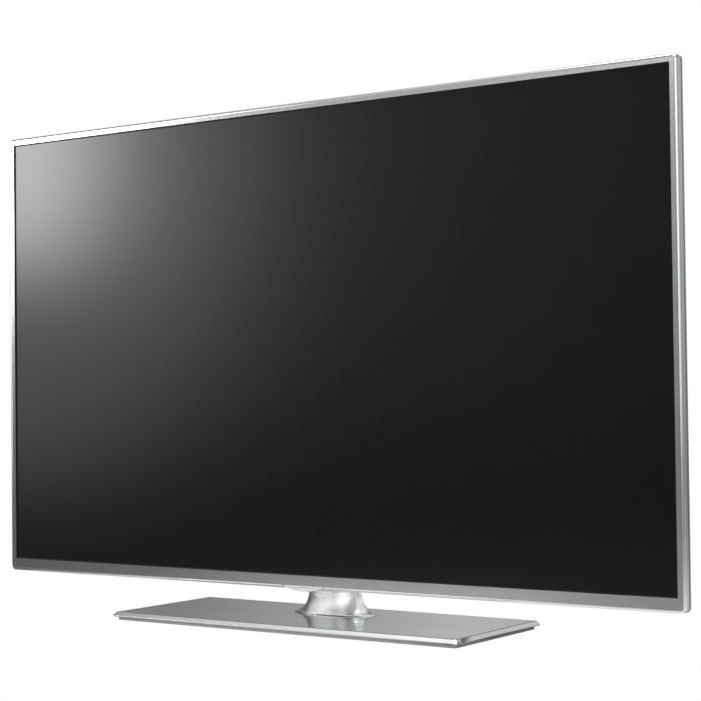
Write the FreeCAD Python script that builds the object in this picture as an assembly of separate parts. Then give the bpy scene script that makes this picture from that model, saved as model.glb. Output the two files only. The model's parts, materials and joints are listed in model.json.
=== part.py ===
"""A flat screen television on a low swivelling table stand, as an assembly of separate pieces.

Frame: X to the viewer's right, Y towards the back, Z up, in millimetres. The origin is the middle of the
stand's rectangle on the table top. The picture faces -Y. Depths inside the set are counted back from the
flat front of the bezel with y_at(depth).
"""

import FreeCAD, Part
import math
import os

from FreeCAD import Vector

# Picture, the black border round it, and the bezel
ACTIVE_W = 930.2
ACTIVE_H = 523.2
BORDER_SIDE = 6.9
BORDER_HIGH = 12.9
BEZEL_SIDE = 9.0
BEZEL_TOP = 8.5
BEZEL_BOTTOM = 15.5
BEZEL_DEPTH = 9.0
BEZEL_WALL = 1.6
BEZEL_LIP = 1.0
BEZEL_CORNER_R = 6.0
BEZEL_EDGE_R = 2.0

# Stand base, its under plate and its feet
BASE_W = 493.0
BASE_D = 188.0
BASE_PLATE = 5.4
BASE_CORNER_R = 5.0
BASE_BEVEL = 2.6
UNDER_PLATE = 4.4
UNDER_INSET = 5.0
FOOT_PROUD = 1.0
FOOT_R = 9.0
FOOT_SEAT = 0.8
FOOT_INSET = 26.0
BASE_SCREW_R = 1.5
BASE_SCREW_HEAD_R = 3.0
BASE_SCREW_HEAD = 1.2
BASE_SCREW_BITE = 3.0
BASE_AHEAD_OF_SCREEN = 61.0

# Neck, spine and swivel
SET_CLEARANCE = 35.0
NECK_BEHIND_SCREEN = 65.0
NECK_FOOT_HALF_W = 57.0
NECK_WAIST_HALF_W = 35.0
NECK_FLATNESS = 0.44
NECK_FLARE_H = 26.0
NECK_FLARE_STEPS = 6
NECK_FLARE_POWER = 3.0
NECK_LIP = 0.8
NECK_WALL = 2.0
NECK_ABOVE_BASE = 46.0
SPINE_W = 56.0
SPINE_HEAD_W = 116.0
SPINE_T = 6.0
SPINE_FOOT_T = 2.0
SPINE_BEND_H = 62.0
SPINE_RISE = 50.0
SPINE_HEAD_H = 100.0
SPINE_COVER_WALL = 2.0
SPINE_COVER_GAP = 0.5
HEAD_SCREW_X = 45.0
HEAD_SCREW_MARGIN = 14.0
HEAD_SCREW_R = 2.0
HEAD_SCREW_HEAD_R = 4.0
HEAD_SCREW_HEAD = 2.4
HEAD_SCREW_BITE = 10.0
STAND_POST_R = 6.0
SPINDLE_R = 12.0
SPINDLE_END_R = 6.0
SPINDLE_FLANGE_R = 15.0
BUSH_WALL = 4.0
RUNNING_FIT = 0.05
RETAINER_R = 24.0
RETAINER_T = 1.3
RETAINER_GAP = 0.3
SWIVEL_LIMIT = 20.0
STOP_PIN_R = 1.5
STOP_PIN_BITE = 2.5

# Layers of the picture module, front to back
GASKET_T = 1.2
FILM_T = 0.2
GLASS_T = 0.7
PANEL_LAP = 3.4
GUIDE_SHELF = 0.8
GUIDE_WALL = 1.2
GUIDE_GAP = 0.2
SHEET_T = 0.3
LIGHT_GUIDE_T = 2.5
REFLECTOR_T = 0.2
CHASSIS_T = 0.8
CHASSIS_GAP = 0.5
CHASSIS_RIB_T = 0.8
CHASSIS_RIB_W = 14.0
LED_PITCH = 18.0
LED_SIZE = 3.0
LED_H = 0.8
LED_BOARD_T = 1.0
HEAT_SPREADER_T = 0.8
GLASS_LEDGE = 3.0
COF_COUNT = 8
COF_W = 34.0
FLEX_T = 0.15
FLEX_DROP = 0.4
SOURCE_BOARD_W = 350.0
SOURCE_BOARD_H = 12.0
SOURCE_BOARD_T = 1.0
SOURCE_BOARD_X = 205.0

# Side frame and back cover
SIDE_FRAME_GAP = 0.6
SIDE_FRAME_T = 4.0
FRAME_LEDGE = 3.0
FRAME_LUG = 9.0
COVER_WALL = 2.2
COVER_INSET = 1.6
BULGE_T = 36.4
BULGE_INSET = 96.0
BULGE_TAPER = 35.0
BULGE_BOTTOM = 17.0
BULGE_CORNER_R = 24.0
POD_W = 70.0
POD_T = 13.0
POD_H = 34.0
VENT_W = 3.0
VENT_H = 16.0
VENT_PITCH = 9.0
VENT_COUNT = 24
VENT_GROUP_X = 190.0
SLOT_COUNT = 11
SLOT_LENGTH = 20.0
COVER_SCREW_R = 1.25
COVER_SCREW_HEAD_R = 3.2
COVER_SCREW_HEAD = 1.6
COVER_SCREW_LENGTH = 5.0
COVER_SCREW_INSET = 6.5
VESA_SPACING = 200.0
VESA_CENTRE_H = 200.0
VESA_R = 3.0
VESA_POST_R = 6.5
VESA_BORE_DEPTH = 20.0
POST_CLEAR = 0.3

# Electronics
BOARD_T = 1.6
STANDOFF_H = 8.0
STANDOFF_R = 3.2
BOARD_SCREW_R = 1.25
BOARD_SCREW_HEAD_R = 2.8
BOARD_SCREW_HEAD = 1.5
BOARD_SCREW_BITE = 5.0
BOARD_MARGIN = 6.0
MAIN_BOARD_W = 160.0
BOARD_END = 1.6
BAY_DEPTH = 40.0
BULGE_HEADROOM = 11.0
POWER_BOARD_W = 170.0
POWER_BOARD_H = 180.0
BOARD_BOTTOM_H = 106.0
TCON_W = 120.0
TCON_H = 46.0
TCON_BOTTOM_H = 292.0
HEAT_SINK = 44.0
HEAT_SINK_FIN_H = 9.0
HEAT_SINK_FINS = 9
PLUG_H = 5.0
CABLE_R = 2.0
SPEAKER_WIRE_R = 1.2
JACK_PANEL_T = 1.5
JACK_PANEL_H = 20.0
JACK_PANEL_LAP = 3.0
SOCKET_GAP = 2.2
SOCKET_FIT = 0.2
AERIAL_R = 4.8
AERIAL_BORE_R = 1.2
AERIAL_LENGTH = 12.0
AERIAL_CAN_WALL = 1.0
AERIAL_CAN_LENGTH = 26.0
LAN_H = 13.5
LAN_MOUTH_L = 11.8
LAN_MOUTH_H = 8.0
LAN_LENGTH = 18.0
HDMI_H = 6.0
HDMI_MOUTH_L = 14.0
HDMI_MOUTH_H = 4.5
HDMI_LENGTH = 12.0
AUDIO_H = 10.0
AUDIO_BORE_R = 1.8
AUDIO_LENGTH = 12.0
USB_H = 7.0
USB_MOUTH_L = 12.5
USB_MOUTH_H = 5.0
USB_LENGTH = 14.0
CARD_H = 8.0
CARD_MOUTH_L = 54.5
CARD_MOUTH_H = 5.2
CARD_LENGTH = 50.0
SOCKET_BACK = 2.0
TONGUE_T = 1.4
INLET_BAY_H = 46.0
INLET_H = 12.0
INLET_W = 22.0
INLET_LENGTH = 24.0
INLET_WALL = 1.6
INLET_PIN_R = 1.2
INLET_PIN_SPACING = 8.6
INLET_PIN_LENGTH = 9.0
INLET_MOUTH_DEPTH = 14.0

# Length of each kind of socket along the jack panel, and how many there are
AERIAL_RUN = 12.0
LAN_RUN = 16.0
HDMI_RUN = 15.0
HDMI_COUNT = 3
AUDIO_RUN = 10.0
AUDIO_COUNT = 2
USB_RUN = 14.5
USB_COUNT = 2
CARD_RUN = 60.0

# What stands on the boards, and the wires between them
TRANSFORMER_W = 40.0
TRANSFORMER_H = 34.0
TRANSFORMER_T = 14.0
TRANSFORMER_FROM_END = 50.0
TRANSFORMER_FROM_BOTTOM = 60.0
TRANSFORMER_PITCH = 62.0
CAPACITOR_R = 9.0
CAPACITOR_LENGTH = 30.0
CAPACITOR_PITCH = 22.0
CAPACITOR_FROM_TOP = 30.0
CAPACITOR_FROM_END = 45.0
PLUG_W = 10.0
CABLE_STRAIGHT = 16.0
CABLE_DIP = 50.0
SPEAKER_WIRE_TURN = 60.0
SPEAKER_WIRE_DROP = 38.0

# Speakers
SPEAKER_FROM_END = 80.0
SPEAKER_W = 110.0
SPEAKER_T = 26.0
SPEAKER_H = 58.0
SPEAKER_WALL = 2.0
SPEAKER_BOTTOM_H = 31.0
DRIVER_R = 10.5
CONE_R = 8.5
CONE_H = 4.0
CONE_SHELL = 0.5
COIL_R = 4.0
COIL_H = 5.0
MAGNET_H = 10.0
BASKET_H = 6.0
CONE_TRAVEL = 1.0

# Joystick and lens under the middle of the bezel
LENS_HALF_W = 32.0
LENS_TIP_ABOVE = 3.3
LENS_CROWN_ABOVE = 0.9
LENS_DROP = 3.3
LENS_DEPTH = 8.6
LENS_SETBACK = 0.4
SENSOR_BOARD_W = 40.0
SENSOR_BOARD_H = 5.5
SENSOR_T = 2.0
STICK_DEPTH = 20.5
STICK_PIVOT_H = 10.0
STICK_TILT = 7.0
STICK_PRESS = 0.6
KNOB_R = 4.0
KNOB_DROP = 2.8
KNOB_CAP_H = 5.0
STEM_R = 1.5
PIN_R = 0.9
ROCKER_HALF = 3.2
ROCKER_H = 4.0
RING_WALL = 1.8
CHEEK_T = 1.6
CLEAR = 0.3
FACE_CLEAR = 0.1

# Heights and depths worked out from the sizes above
FRONT_Y = -BASE_D / 2 + BASE_AHEAD_OF_SCREEN
NECK_Y = FRONT_Y + NECK_BEHIND_SCREEN
UNDER_Z = FOOT_PROUD
PLATE_Z = UNDER_Z + UNDER_PLATE
BASE_TOP = PLATE_Z + BASE_PLATE
SET_Z = BASE_TOP + SET_CLEARANCE
OPENING_W = ACTIVE_W + 2 * BORDER_SIDE
OPENING_H = ACTIVE_H + 2 * BORDER_HIGH
OPEN_Z0 = SET_Z + BEZEL_BOTTOM
OPEN_Z1 = OPEN_Z0 + OPENING_H
SET_TOP = OPEN_Z1 + BEZEL_TOP
SET_HALF_W = OPENING_W / 2 + BEZEL_SIDE

GLASS_D = BEZEL_LIP + GASKET_T
CF_D = GLASS_D + FILM_T
TFT_D = CF_D + GLASS_T
REAR_POL_D = TFT_D + GLASS_T
GUIDE_D = REAR_POL_D + FILM_T
SHEET_D = GUIDE_D + GUIDE_SHELF
LIGHT_GUIDE_D = SHEET_D + 3 * SHEET_T
REFLECTOR_D = LIGHT_GUIDE_D + LIGHT_GUIDE_T
CHASSIS_D = REFLECTOR_D + REFLECTOR_T
CHASSIS_BACK = CHASSIS_D + CHASSIS_T
SIDE_FRAME_D = BEZEL_DEPTH + SIDE_FRAME_GAP
RIM_D = SIDE_FRAME_D + SIDE_FRAME_T
BACK_D = RIM_D + COVER_WALL
BULGE_BACK = BACK_D + BULGE_T
BOARD_D = CHASSIS_BACK + STANDOFF_H
BOARD_BACK = BOARD_D + BOARD_T
BULGE_HALF_W = SET_HALF_W - BULGE_INSET
BULGE_Z0 = SET_Z + BULGE_BOTTOM
BOARD_Z = SET_Z + BOARD_BOTTOM_H
SOCKETS = (
    ("aerial_socket", 1, AERIAL_RUN),
    ("lan_socket", 1, LAN_RUN),
    ("hdmi_sockets", HDMI_COUNT, HDMI_RUN),
    ("audio_sockets", AUDIO_COUNT, AUDIO_RUN),
    ("usb_sockets", USB_COUNT, USB_RUN),
    ("card_slot", 1, CARD_RUN),
)
SOCKET_COLUMN = sum(count * (length + SOCKET_GAP) for _, count, length in SOCKETS) - SOCKET_GAP
MAIN_BOARD_H = SOCKET_COLUMN + 2 * BOARD_END
BULGE_Z1 = BOARD_Z + MAIN_BOARD_H + BULGE_HEADROOM + BULGE_TAPER
TCON_Z = SET_Z + TCON_BOTTOM_H
VESA_Z = SET_Z + VESA_CENTRE_H
BAY_FLOOR_X = BULGE_HALF_W - BAY_DEPTH
JACK_PANEL_X = BAY_FLOOR_X - COVER_WALL
BOARD_EDGE_X = JACK_PANEL_X - JACK_PANEL_T
INLET_Z = BOARD_Z + INLET_BAY_H / 2
SPINE_Z0 = BASE_TOP + NECK_LIP + SPINE_FOOT_T
SPINE_BEND_Z = SPINE_Z0 + SPINE_BEND_H
SPINE_HEAD_Z0 = SPINE_BEND_Z + SPINE_RISE
SPINE_HEAD_Z1 = SPINE_HEAD_Z0 + SPINE_HEAD_H
SPEAKER_Z = SET_Z + SPEAKER_BOTTOM_H
SPEAKER_X = BULGE_HALF_W - SPEAKER_FROM_END
STICK_Z = SET_Z + STICK_PIVOT_H

PANEL_HALF_W = OPENING_W / 2 + PANEL_LAP
PANEL_Z0 = OPEN_Z0 - PANEL_LAP
PANEL_Z1 = OPEN_Z1 + PANEL_LAP
LED_Z = PANEL_Z0 - GUIDE_GAP - LED_H
LED_BOARD_Z = LED_Z - LED_BOARD_T
SPREADER_Z = LED_BOARD_Z - HEAT_SPREADER_T
FLEX_Z = SPREADER_Z - FLEX_DROP - FLEX_T


def y_at(depth):
    """The Y of a plane that lies depth behind the flat front of the bezel."""
    return FRONT_Y + depth


def box(x0, x1, y0, y1, z0, z1):
    return Part.makeBox(x1 - x0, y1 - y0, z1 - z0, Vector(x0, y0, z0))


def block(x0, x1, depth0, depth1, z0, z1):
    """A box whose Y range is given as depths behind the bezel's front."""
    return box(x0, x1, y_at(depth0), y_at(depth1), z0, z1)


def rod(x, y, z, radius, length, direction):
    """A round bar that starts at the point and runs along the direction."""
    return Part.makeCylinder(radius, length, Vector(x, y, z), Vector(*direction))


def back_rod(x, z, radius, depth0, depth1):
    """A round bar along Y between two depths."""
    return rod(x, y_at(depth0), z, radius, depth1 - depth0, (0, 1, 0))


def fuse(shapes):
    return shapes[0].multiFuse(shapes[1:]).removeSplitter()


def cut_all(shape, cutters):
    return shape.cut(Part.makeCompound(cutters))


def pillow_edges(x0, x1, z0, z1, radius, y):
    """The arcs and lines of a rectangle with rounded corners, standing in the plane of that Y."""
    diagonal = radius * math.sqrt(0.5)
    centres = [(x1 - radius, z0 + radius), (x1 - radius, z1 - radius)]
    centres += [(x0 + radius, z1 - radius), (x0 + radius, z0 + radius)]
    turns = [(0, -1, 1, 0), (1, 0, 0, 1), (0, 1, -1, 0), (-1, 0, 0, -1)]
    arcs = []
    for (cx, cz), (ax, az, bx, bz) in zip(centres, turns):
        start = Vector(cx + radius * ax, y, cz + radius * az)
        middle = Vector(cx + diagonal * (ax + bx), y, cz + diagonal * (az + bz))
        end = Vector(cx + radius * bx, y, cz + radius * bz)
        arcs.append((start, middle, end))
    edges = []
    for (start, middle, end), (following, _, _) in zip(arcs, arcs[1:] + arcs[:1]):
        edges.append(Part.Arc(start, middle, end).toShape())
        edges.append(Part.LineSegment(end, following).toShape())
    return edges


def slab(x0, x1, z0, z1, radius, depth0, depth1):
    """A flat block standing upright between two depths, with rounded corners in the front view."""
    outline = Part.Wire(pillow_edges(x0, x1, z0, z1, radius, y_at(depth0)))
    return Part.Face(outline).extrude(Vector(0, depth1 - depth0, 0))


def set_slab(inset, depth0, depth1):
    """The set's own outline, drawn in by an inset all round."""
    half = SET_HALF_W - inset
    radius = max(BEZEL_CORNER_R - inset, 1.0)
    return slab(-half, half, SET_Z + inset, SET_TOP - inset, radius, depth0, depth1)


def sheet(inset, depth, thickness, bottom=0.0):
    """A sheet of the picture module, drawn in from the panel's size, its bottom edge raised."""
    half = PANEL_HALF_W - inset
    return block(-half, half, depth, depth + thickness, PANEL_Z0 + inset + bottom, PANEL_Z1 - inset)


def profile_x(points, x0, x1):
    """A solid that runs along X, whose section is a polygon of (y, z) points."""
    wire = Part.makePolygon([Vector(x0, y, z) for y, z in points + points[:1]])
    return Part.Face(wire).extrude(Vector(x1 - x0, 0, 0))


def plan_block(half_x, half_y, radius, z0, z1):
    """A flat block lying down, with rounded corners seen from above."""
    solid = box(-half_x, half_x, -half_y, half_y, z0, z1)
    posts = [e for e in solid.Edges if abs(e.tangentAt(e.FirstParameter).z) > 0.9]
    return solid.makeFillet(radius, posts)


def neck_oval(half_w, half_d, z):
    return Part.Wire([Part.Ellipse(Vector(0, NECK_Y, z), half_w, half_d).toShape()])


def bent_tube(points, radius, bend):
    """A round cable along straight runs that tangent arcs of one radius join."""
    spots = [Vector(*p) for p in points]
    edges = []
    last = spots[0]
    for before, corner, after in zip(spots, spots[1:], spots[2:]):
        into = (corner - before).normalize()
        out = (after - corner).normalize()
        half_turn = into.getAngle(out) / 2
        trim = bend * math.tan(half_turn)
        start = corner - into * trim
        end = corner + out * trim
        inward = (out - into).normalize()
        middle = corner + inward * (bend / math.cos(half_turn) - bend)
        edges.append(Part.LineSegment(last, start).toShape())
        edges.append(Part.Arc(start, middle, end).toShape())
        last = end
    edges.append(Part.LineSegment(last, spots[-1]).toShape())
    heading = (spots[1] - spots[0]).normalize()
    circle = Part.Wire([Part.Circle(spots[0], heading, radius).toShape()])
    return Part.Wire(edges).makePipeShell([circle], True, False)


def back_screw(x, z, seat, length, shaft_r, head_r, head):
    """A cross-head screw driven from the back, its head on the plane of the seat's depth."""
    shank = back_rod(x, z, shaft_r, seat - length, seat)
    cap = back_rod(x, z, head_r, seat, seat + head)
    rim = [e for e in cap.Edges if e.BoundBox.YMin > y_at(seat + head) - 1e-6]
    cap = cap.makeFillet(head * 0.45, rim)
    arm = head_r * 0.18
    reach = head_r * 0.55
    top = seat + head
    floor = top - head * 0.5
    cross = [block(x - reach, x + reach, floor, top, z - arm, z + arm)]
    cross.append(block(x - arm, x + arm, floor, top, z - reach, z + reach))
    return cut_all(fuse([shank, cap]), cross)


NODES = {}


def keep(name, *shapes):
    """Collects the solids of one named piece."""
    NODES[name] = [solid for shape in shapes for solid in shape.Solids]


# Stand base
def foot_places():
    x = BASE_W / 2 - FOOT_INSET
    y = BASE_D / 2 - FOOT_INSET
    return [(side * x, end * y) for side in (-1, 1) for end in (-1, 1)] + [(0, -y)]


def base_screw_places():
    x = BASE_W / 2 - 2 * FOOT_INSET
    y = BASE_D / 2 - FOOT_INSET
    return [(side * x, end * y) for side in (-1, 1) for end in (-1, 1)]


def stop_pin_y():
    return NECK_Y - (RETAINER_R - STOP_PIN_R)


def base_plate():
    plate = plan_block(BASE_W / 2, BASE_D / 2, BASE_CORNER_R, PLATE_Z, BASE_TOP)
    rim = [e for e in plate.Edges if e.BoundBox.ZMin > BASE_TOP - 1e-6]
    plate = plate.makeChamfer(min(BASE_BEVEL, BASE_PLATE * 0.8), rim)
    bush_r = SPINDLE_R + RUNNING_FIT + BUSH_WALL
    holes = [rod(0, NECK_Y, PLATE_Z, bush_r, BASE_PLATE, (0, 0, 1))]
    holes.append(rod(0, stop_pin_y(), PLATE_Z, STOP_PIN_R, STOP_PIN_BITE, (0, 0, 1)))
    holes += [rod(x, y, PLATE_Z, BASE_SCREW_R, BASE_SCREW_BITE, (0, 0, 1)) for x, y in base_screw_places()]
    return cut_all(plate, holes)


def base_underplate():
    half_w = BASE_W / 2 - UNDER_INSET
    plate = plan_block(half_w, BASE_D / 2 - UNDER_INSET, BASE_CORNER_R, UNDER_Z, PLATE_Z)
    holes = [rod(0, NECK_Y, UNDER_Z, RETAINER_R + 2 * CLEAR, UNDER_PLATE, (0, 0, 1))]
    holes += [rod(x, y, UNDER_Z, FOOT_R, FOOT_SEAT, (0, 0, 1)) for x, y in foot_places()]
    for x, y in base_screw_places():
        holes.append(rod(x, y, UNDER_Z, BASE_SCREW_R, UNDER_PLATE, (0, 0, 1)))
        holes.append(rod(x, y, UNDER_Z, BASE_SCREW_HEAD_R, BASE_SCREW_HEAD, (0, 0, 1)))
    return cut_all(plate, holes)


def base_screw(x, y):
    head = rod(x, y, UNDER_Z, BASE_SCREW_HEAD_R, BASE_SCREW_HEAD, (0, 0, 1))
    length = UNDER_PLATE - BASE_SCREW_HEAD + BASE_SCREW_BITE
    return fuse([head, rod(x, y, UNDER_Z + BASE_SCREW_HEAD, BASE_SCREW_R, length, (0, 0, 1))])


def make_base():
    keep("base_plate", base_plate())
    keep("base_underplate", base_underplate())
    keep("base_feet", *[rod(x, y, 0, FOOT_R, FOOT_PROUD + FOOT_SEAT, (0, 0, 1)) for x, y in foot_places()])
    keep("base_screws", *[base_screw(x, y) for x, y in base_screw_places()])
    bore = SPINDLE_R + RUNNING_FIT
    bush = rod(0, NECK_Y, PLATE_Z, bore + BUSH_WALL, BASE_PLATE, (0, 0, 1))
    keep("swivel_bush", bush.cut(rod(0, NECK_Y, PLATE_Z, bore, BASE_PLATE, (0, 0, 1))))
    pin_z = PLATE_Z - RETAINER_GAP - RETAINER_T
    keep("stop_pin", rod(0, stop_pin_y(), pin_z, STOP_PIN_R, PLATE_Z + STOP_PIN_BITE - pin_z, (0, 0, 1)))


# Swivel, neck and spine
def swivel_retainer():
    """The disc under the base that holds the spindle down, notched for the stop pin."""
    z = PLATE_Z - RETAINER_GAP - RETAINER_T
    disc = rod(0, NECK_Y, z, RETAINER_R, RETAINER_T, (0, 0, 1))
    disc = disc.cut(rod(0, NECK_Y, z, SPINDLE_END_R, RETAINER_T, (0, 0, 1)))
    pin_reach = RETAINER_R - STOP_PIN_R
    half = math.radians(SWIVEL_LIMIT) + math.asin((STOP_PIN_R + CLEAR) / pin_reach)
    far = 2 * RETAINER_R
    corners = [Vector(0, NECK_Y, z)]
    corners += [Vector(far * math.sin(a), NECK_Y - far * math.cos(a), z) for a in (-half, half)]
    wedge = Part.Face(Part.makePolygon(corners + corners[:1])).extrude(Vector(0, 0, RETAINER_T))
    core = rod(0, NECK_Y, z, pin_reach - STOP_PIN_R - CLEAR, RETAINER_T, (0, 0, 1))
    return disc.cut(wedge.cut(core))


def swivel_spindle():
    shoulder_z = PLATE_Z - RETAINER_GAP
    flange = rod(0, NECK_Y, BASE_TOP, SPINDLE_FLANGE_R, NECK_LIP, (0, 0, 1))
    shaft = rod(0, NECK_Y, shoulder_z, SPINDLE_R, BASE_TOP - shoulder_z, (0, 0, 1))
    end = rod(0, NECK_Y, shoulder_z - RETAINER_T, SPINDLE_END_R, RETAINER_T, (0, 0, 1))
    return fuse([flange, shaft, end])


def neck_half_w(height):
    """Half the neck's width at a height above its lip: a foot that sweeps up into a straight waist."""
    left = max(1 - height / NECK_FLARE_H, 0)
    return NECK_WAIST_HALF_W + (NECK_FOOT_HALF_W - NECK_WAIST_HALF_W) * left ** NECK_FLARE_POWER


def neck_form(inset):
    """The neck as a solid, drawn in by an inset."""
    z0 = BASE_TOP + FACE_CLEAR
    lip_z = z0 + NECK_LIP
    rings = []
    for step in range(NECK_FLARE_STEPS + 1):
        height = NECK_FLARE_H * step / NECK_FLARE_STEPS
        half_w = neck_half_w(height)
        rings.append(neck_oval(half_w - inset, half_w * NECK_FLATNESS - inset, lip_z + height))
    flare = Part.makeLoft(rings, True, False)
    foot = Part.Face(neck_oval(NECK_FOOT_HALF_W - inset, NECK_FOOT_HALF_W * NECK_FLATNESS - inset, z0))
    waist = Part.Face(rings[-1])
    top = BASE_TOP + NECK_ABOVE_BASE
    column = waist.extrude(Vector(0, 0, top - lip_z - NECK_FLARE_H))
    return fuse([foot.extrude(Vector(0, 0, NECK_LIP)), flare, column])


def spine_y(z):
    """The Y of the spine's middle plane: upright in the neck, then forward to the back of the set."""
    head_y = y_at(BULGE_BACK) + SPINE_T / 2
    share = min(max((z - SPINE_BEND_Z) / SPINE_RISE, 0), 1)
    return NECK_Y + (head_y - NECK_Y) * share


def riser(z0, z1, half_t, half_w):
    """A stretch of the spine's riser between two heights, of a given thickness and width."""
    heights = [z0] + [z for z in (SPINE_BEND_Z, SPINE_HEAD_Z0) if z0 < z < z1] + [z1]
    front = [(spine_y(z) - half_t, z) for z in heights]
    back = [(spine_y(z) + half_t, z) for z in reversed(heights)]
    return profile_x(front + back, -half_w, half_w)


def head_screw_places():
    heights = (SPINE_HEAD_Z0 + HEAD_SCREW_MARGIN, SPINE_HEAD_Z1 - HEAD_SCREW_MARGIN)
    return [(side * HEAD_SCREW_X, z) for side in (-1, 1) for z in heights]


def spine():
    half_w = neck_half_w(SPINE_FOOT_T) - NECK_WALL - CLEAR
    half_d = neck_half_w(SPINE_FOOT_T) * NECK_FLATNESS - NECK_WALL - CLEAR
    foot = Part.Face(neck_oval(half_w, half_d, BASE_TOP + NECK_LIP)).extrude(Vector(0, 0, SPINE_FOOT_T))
    y = y_at(BULGE_BACK)
    head = box(-SPINE_HEAD_W / 2, SPINE_HEAD_W / 2, y, y + SPINE_T, SPINE_HEAD_Z0, SPINE_HEAD_Z1)
    plate = fuse([foot, riser(SPINE_Z0, SPINE_HEAD_Z0, SPINE_T / 2, SPINE_W / 2), head])
    holes = [rod(x, y, z, HEAD_SCREW_R, SPINE_T, (0, 1, 0)) for x, z in head_screw_places()]
    return cut_all(plate, holes)


def spine_cover():
    """The plastic sleeve round the riser, from the neck to the back of the set."""
    z0 = BASE_TOP + NECK_ABOVE_BASE
    outer_t = SPINE_T / 2 + SPINE_COVER_GAP + SPINE_COVER_WALL
    outer_w = SPINE_W / 2 + SPINE_COVER_GAP + SPINE_COVER_WALL
    sleeve = riser(z0, SPINE_HEAD_Z0, outer_t, outer_w)
    bore = riser(z0, SPINE_HEAD_Z0, outer_t - SPINE_COVER_WALL, outer_w - SPINE_COVER_WALL)
    set_room = box(-outer_w, outer_w, y_at(0), y_at(BULGE_BACK) + CLEAR, z0, SPINE_HEAD_Z0)
    return sleeve.cut(bore).cut(set_room)


def make_stand_top():
    keep("swivel_spindle", swivel_spindle())
    keep("swivel_retainer", swivel_retainer())
    keep("neck_shell", neck_form(0).cut(neck_form(NECK_WALL)))
    keep("spine", spine())
    keep("spine_cover", spine_cover())
    seat = BULGE_BACK + SPINE_T
    length = SPINE_T + COVER_WALL + HEAD_SCREW_BITE
    sizes = (length, HEAD_SCREW_R, HEAD_SCREW_HEAD_R, HEAD_SCREW_HEAD)
    keep("spine_screws", *[back_screw(x, z, seat, *sizes) for x, z in head_screw_places()])
    posts = []
    for x, z in head_screw_places():
        post = back_rod(x, z, STAND_POST_R, CHASSIS_BACK, BULGE_BACK - COVER_WALL)
        posts.append(post.cut(back_rod(x, z, HEAD_SCREW_R, seat - length, seat)))
    keep("stand_posts", *posts)


# Front bezel and lens
def lens_form(depth0, depth1):
    """The clear crescent that hangs under the middle of the bezel."""
    y = y_at(depth0)
    tip = SET_Z + LENS_TIP_ABOVE
    left = Vector(-LENS_HALF_W, y, tip)
    right = Vector(LENS_HALF_W, y, tip)
    top = Part.Arc(left, Vector(0, y, SET_Z + LENS_CROWN_ABOVE), right).toShape()
    bottom = Part.Arc(left, Vector(0, y, SET_Z - LENS_DROP), right).toShape()
    return Part.Face(Part.Wire([top, bottom])).extrude(Vector(0, depth1 - depth0, 0))


def front_bezel():
    shell = set_slab(0, 0, BEZEL_DEPTH)
    rim = [e for e in shell.Edges if e.BoundBox.YMax < y_at(0) + 1e-6]
    shell = shell.makeFillet(BEZEL_EDGE_R, rim)
    hollow = set_slab(BEZEL_WALL, BEZEL_LIP, BEZEL_DEPTH)
    half = OPENING_W / 2
    opening = block(-half, half, 0, BEZEL_LIP, OPEN_Z0, OPEN_Z1)
    return shell.cut(hollow).cut(opening).cut(lens_form(-1, BEZEL_DEPTH))


def make_front():
    keep("front_bezel", front_bezel())
    keep("indicator_lens", lens_form(LENS_SETBACK, LENS_SETBACK + LENS_DEPTH))
    strip = sheet(0, BEZEL_LIP, GASKET_T)
    window = block(-OPENING_W / 2, OPENING_W / 2, BEZEL_LIP, GLASS_D, OPEN_Z0, OPEN_Z1)
    keep("bezel_gasket", strip.cut(window))
    z0 = SET_Z + LENS_TIP_ABOVE + FACE_CLEAR
    parts_d = BEZEL_LIP + SENSOR_T
    half = SENSOR_BOARD_W / 2
    board = block(-half, half, parts_d, parts_d + LED_BOARD_T, z0, z0 + SENSOR_BOARD_H)
    receiver = block(half * 0.25, half * 0.55, BEZEL_LIP, parts_d, z0, z0 + SENSOR_BOARD_H * 0.8)
    lamp = block(-half * 0.45, -half * 0.35, BEZEL_LIP, parts_d, z0, z0 + SENSOR_BOARD_H * 0.4)
    keep("sensor_board", board, receiver, lamp)


# Picture module
def flex_xs():
    """The middles of the flexible tails, shared out evenly over the two source boards."""
    each = COF_COUNT // 2
    pitch = SOURCE_BOARD_W / each
    run = [pitch * (i - (each - 1) / 2) for i in range(each)]
    return [side * SOURCE_BOARD_X + x for side in (-1, 1) for x in run]


def flex_tail(x):
    """A folded film from the glass ledge, under the lamps, to the board behind the chassis."""
    half = COF_W / 2
    board_back = CHASSIS_BACK + SOURCE_BOARD_T
    front = block(x - half, x + half, TFT_D - FLEX_T, TFT_D, FLEX_Z, PANEL_Z0 + GLASS_LEDGE * 0.8)
    under = block(x - half, x + half, TFT_D - FLEX_T, board_back + FLEX_T, FLEX_Z, FLEX_Z + FLEX_T)
    back = block(x - half, x + half, board_back, board_back + FLEX_T, FLEX_Z, SPREADER_Z + 5)
    return fuse([front, under, back])


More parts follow.
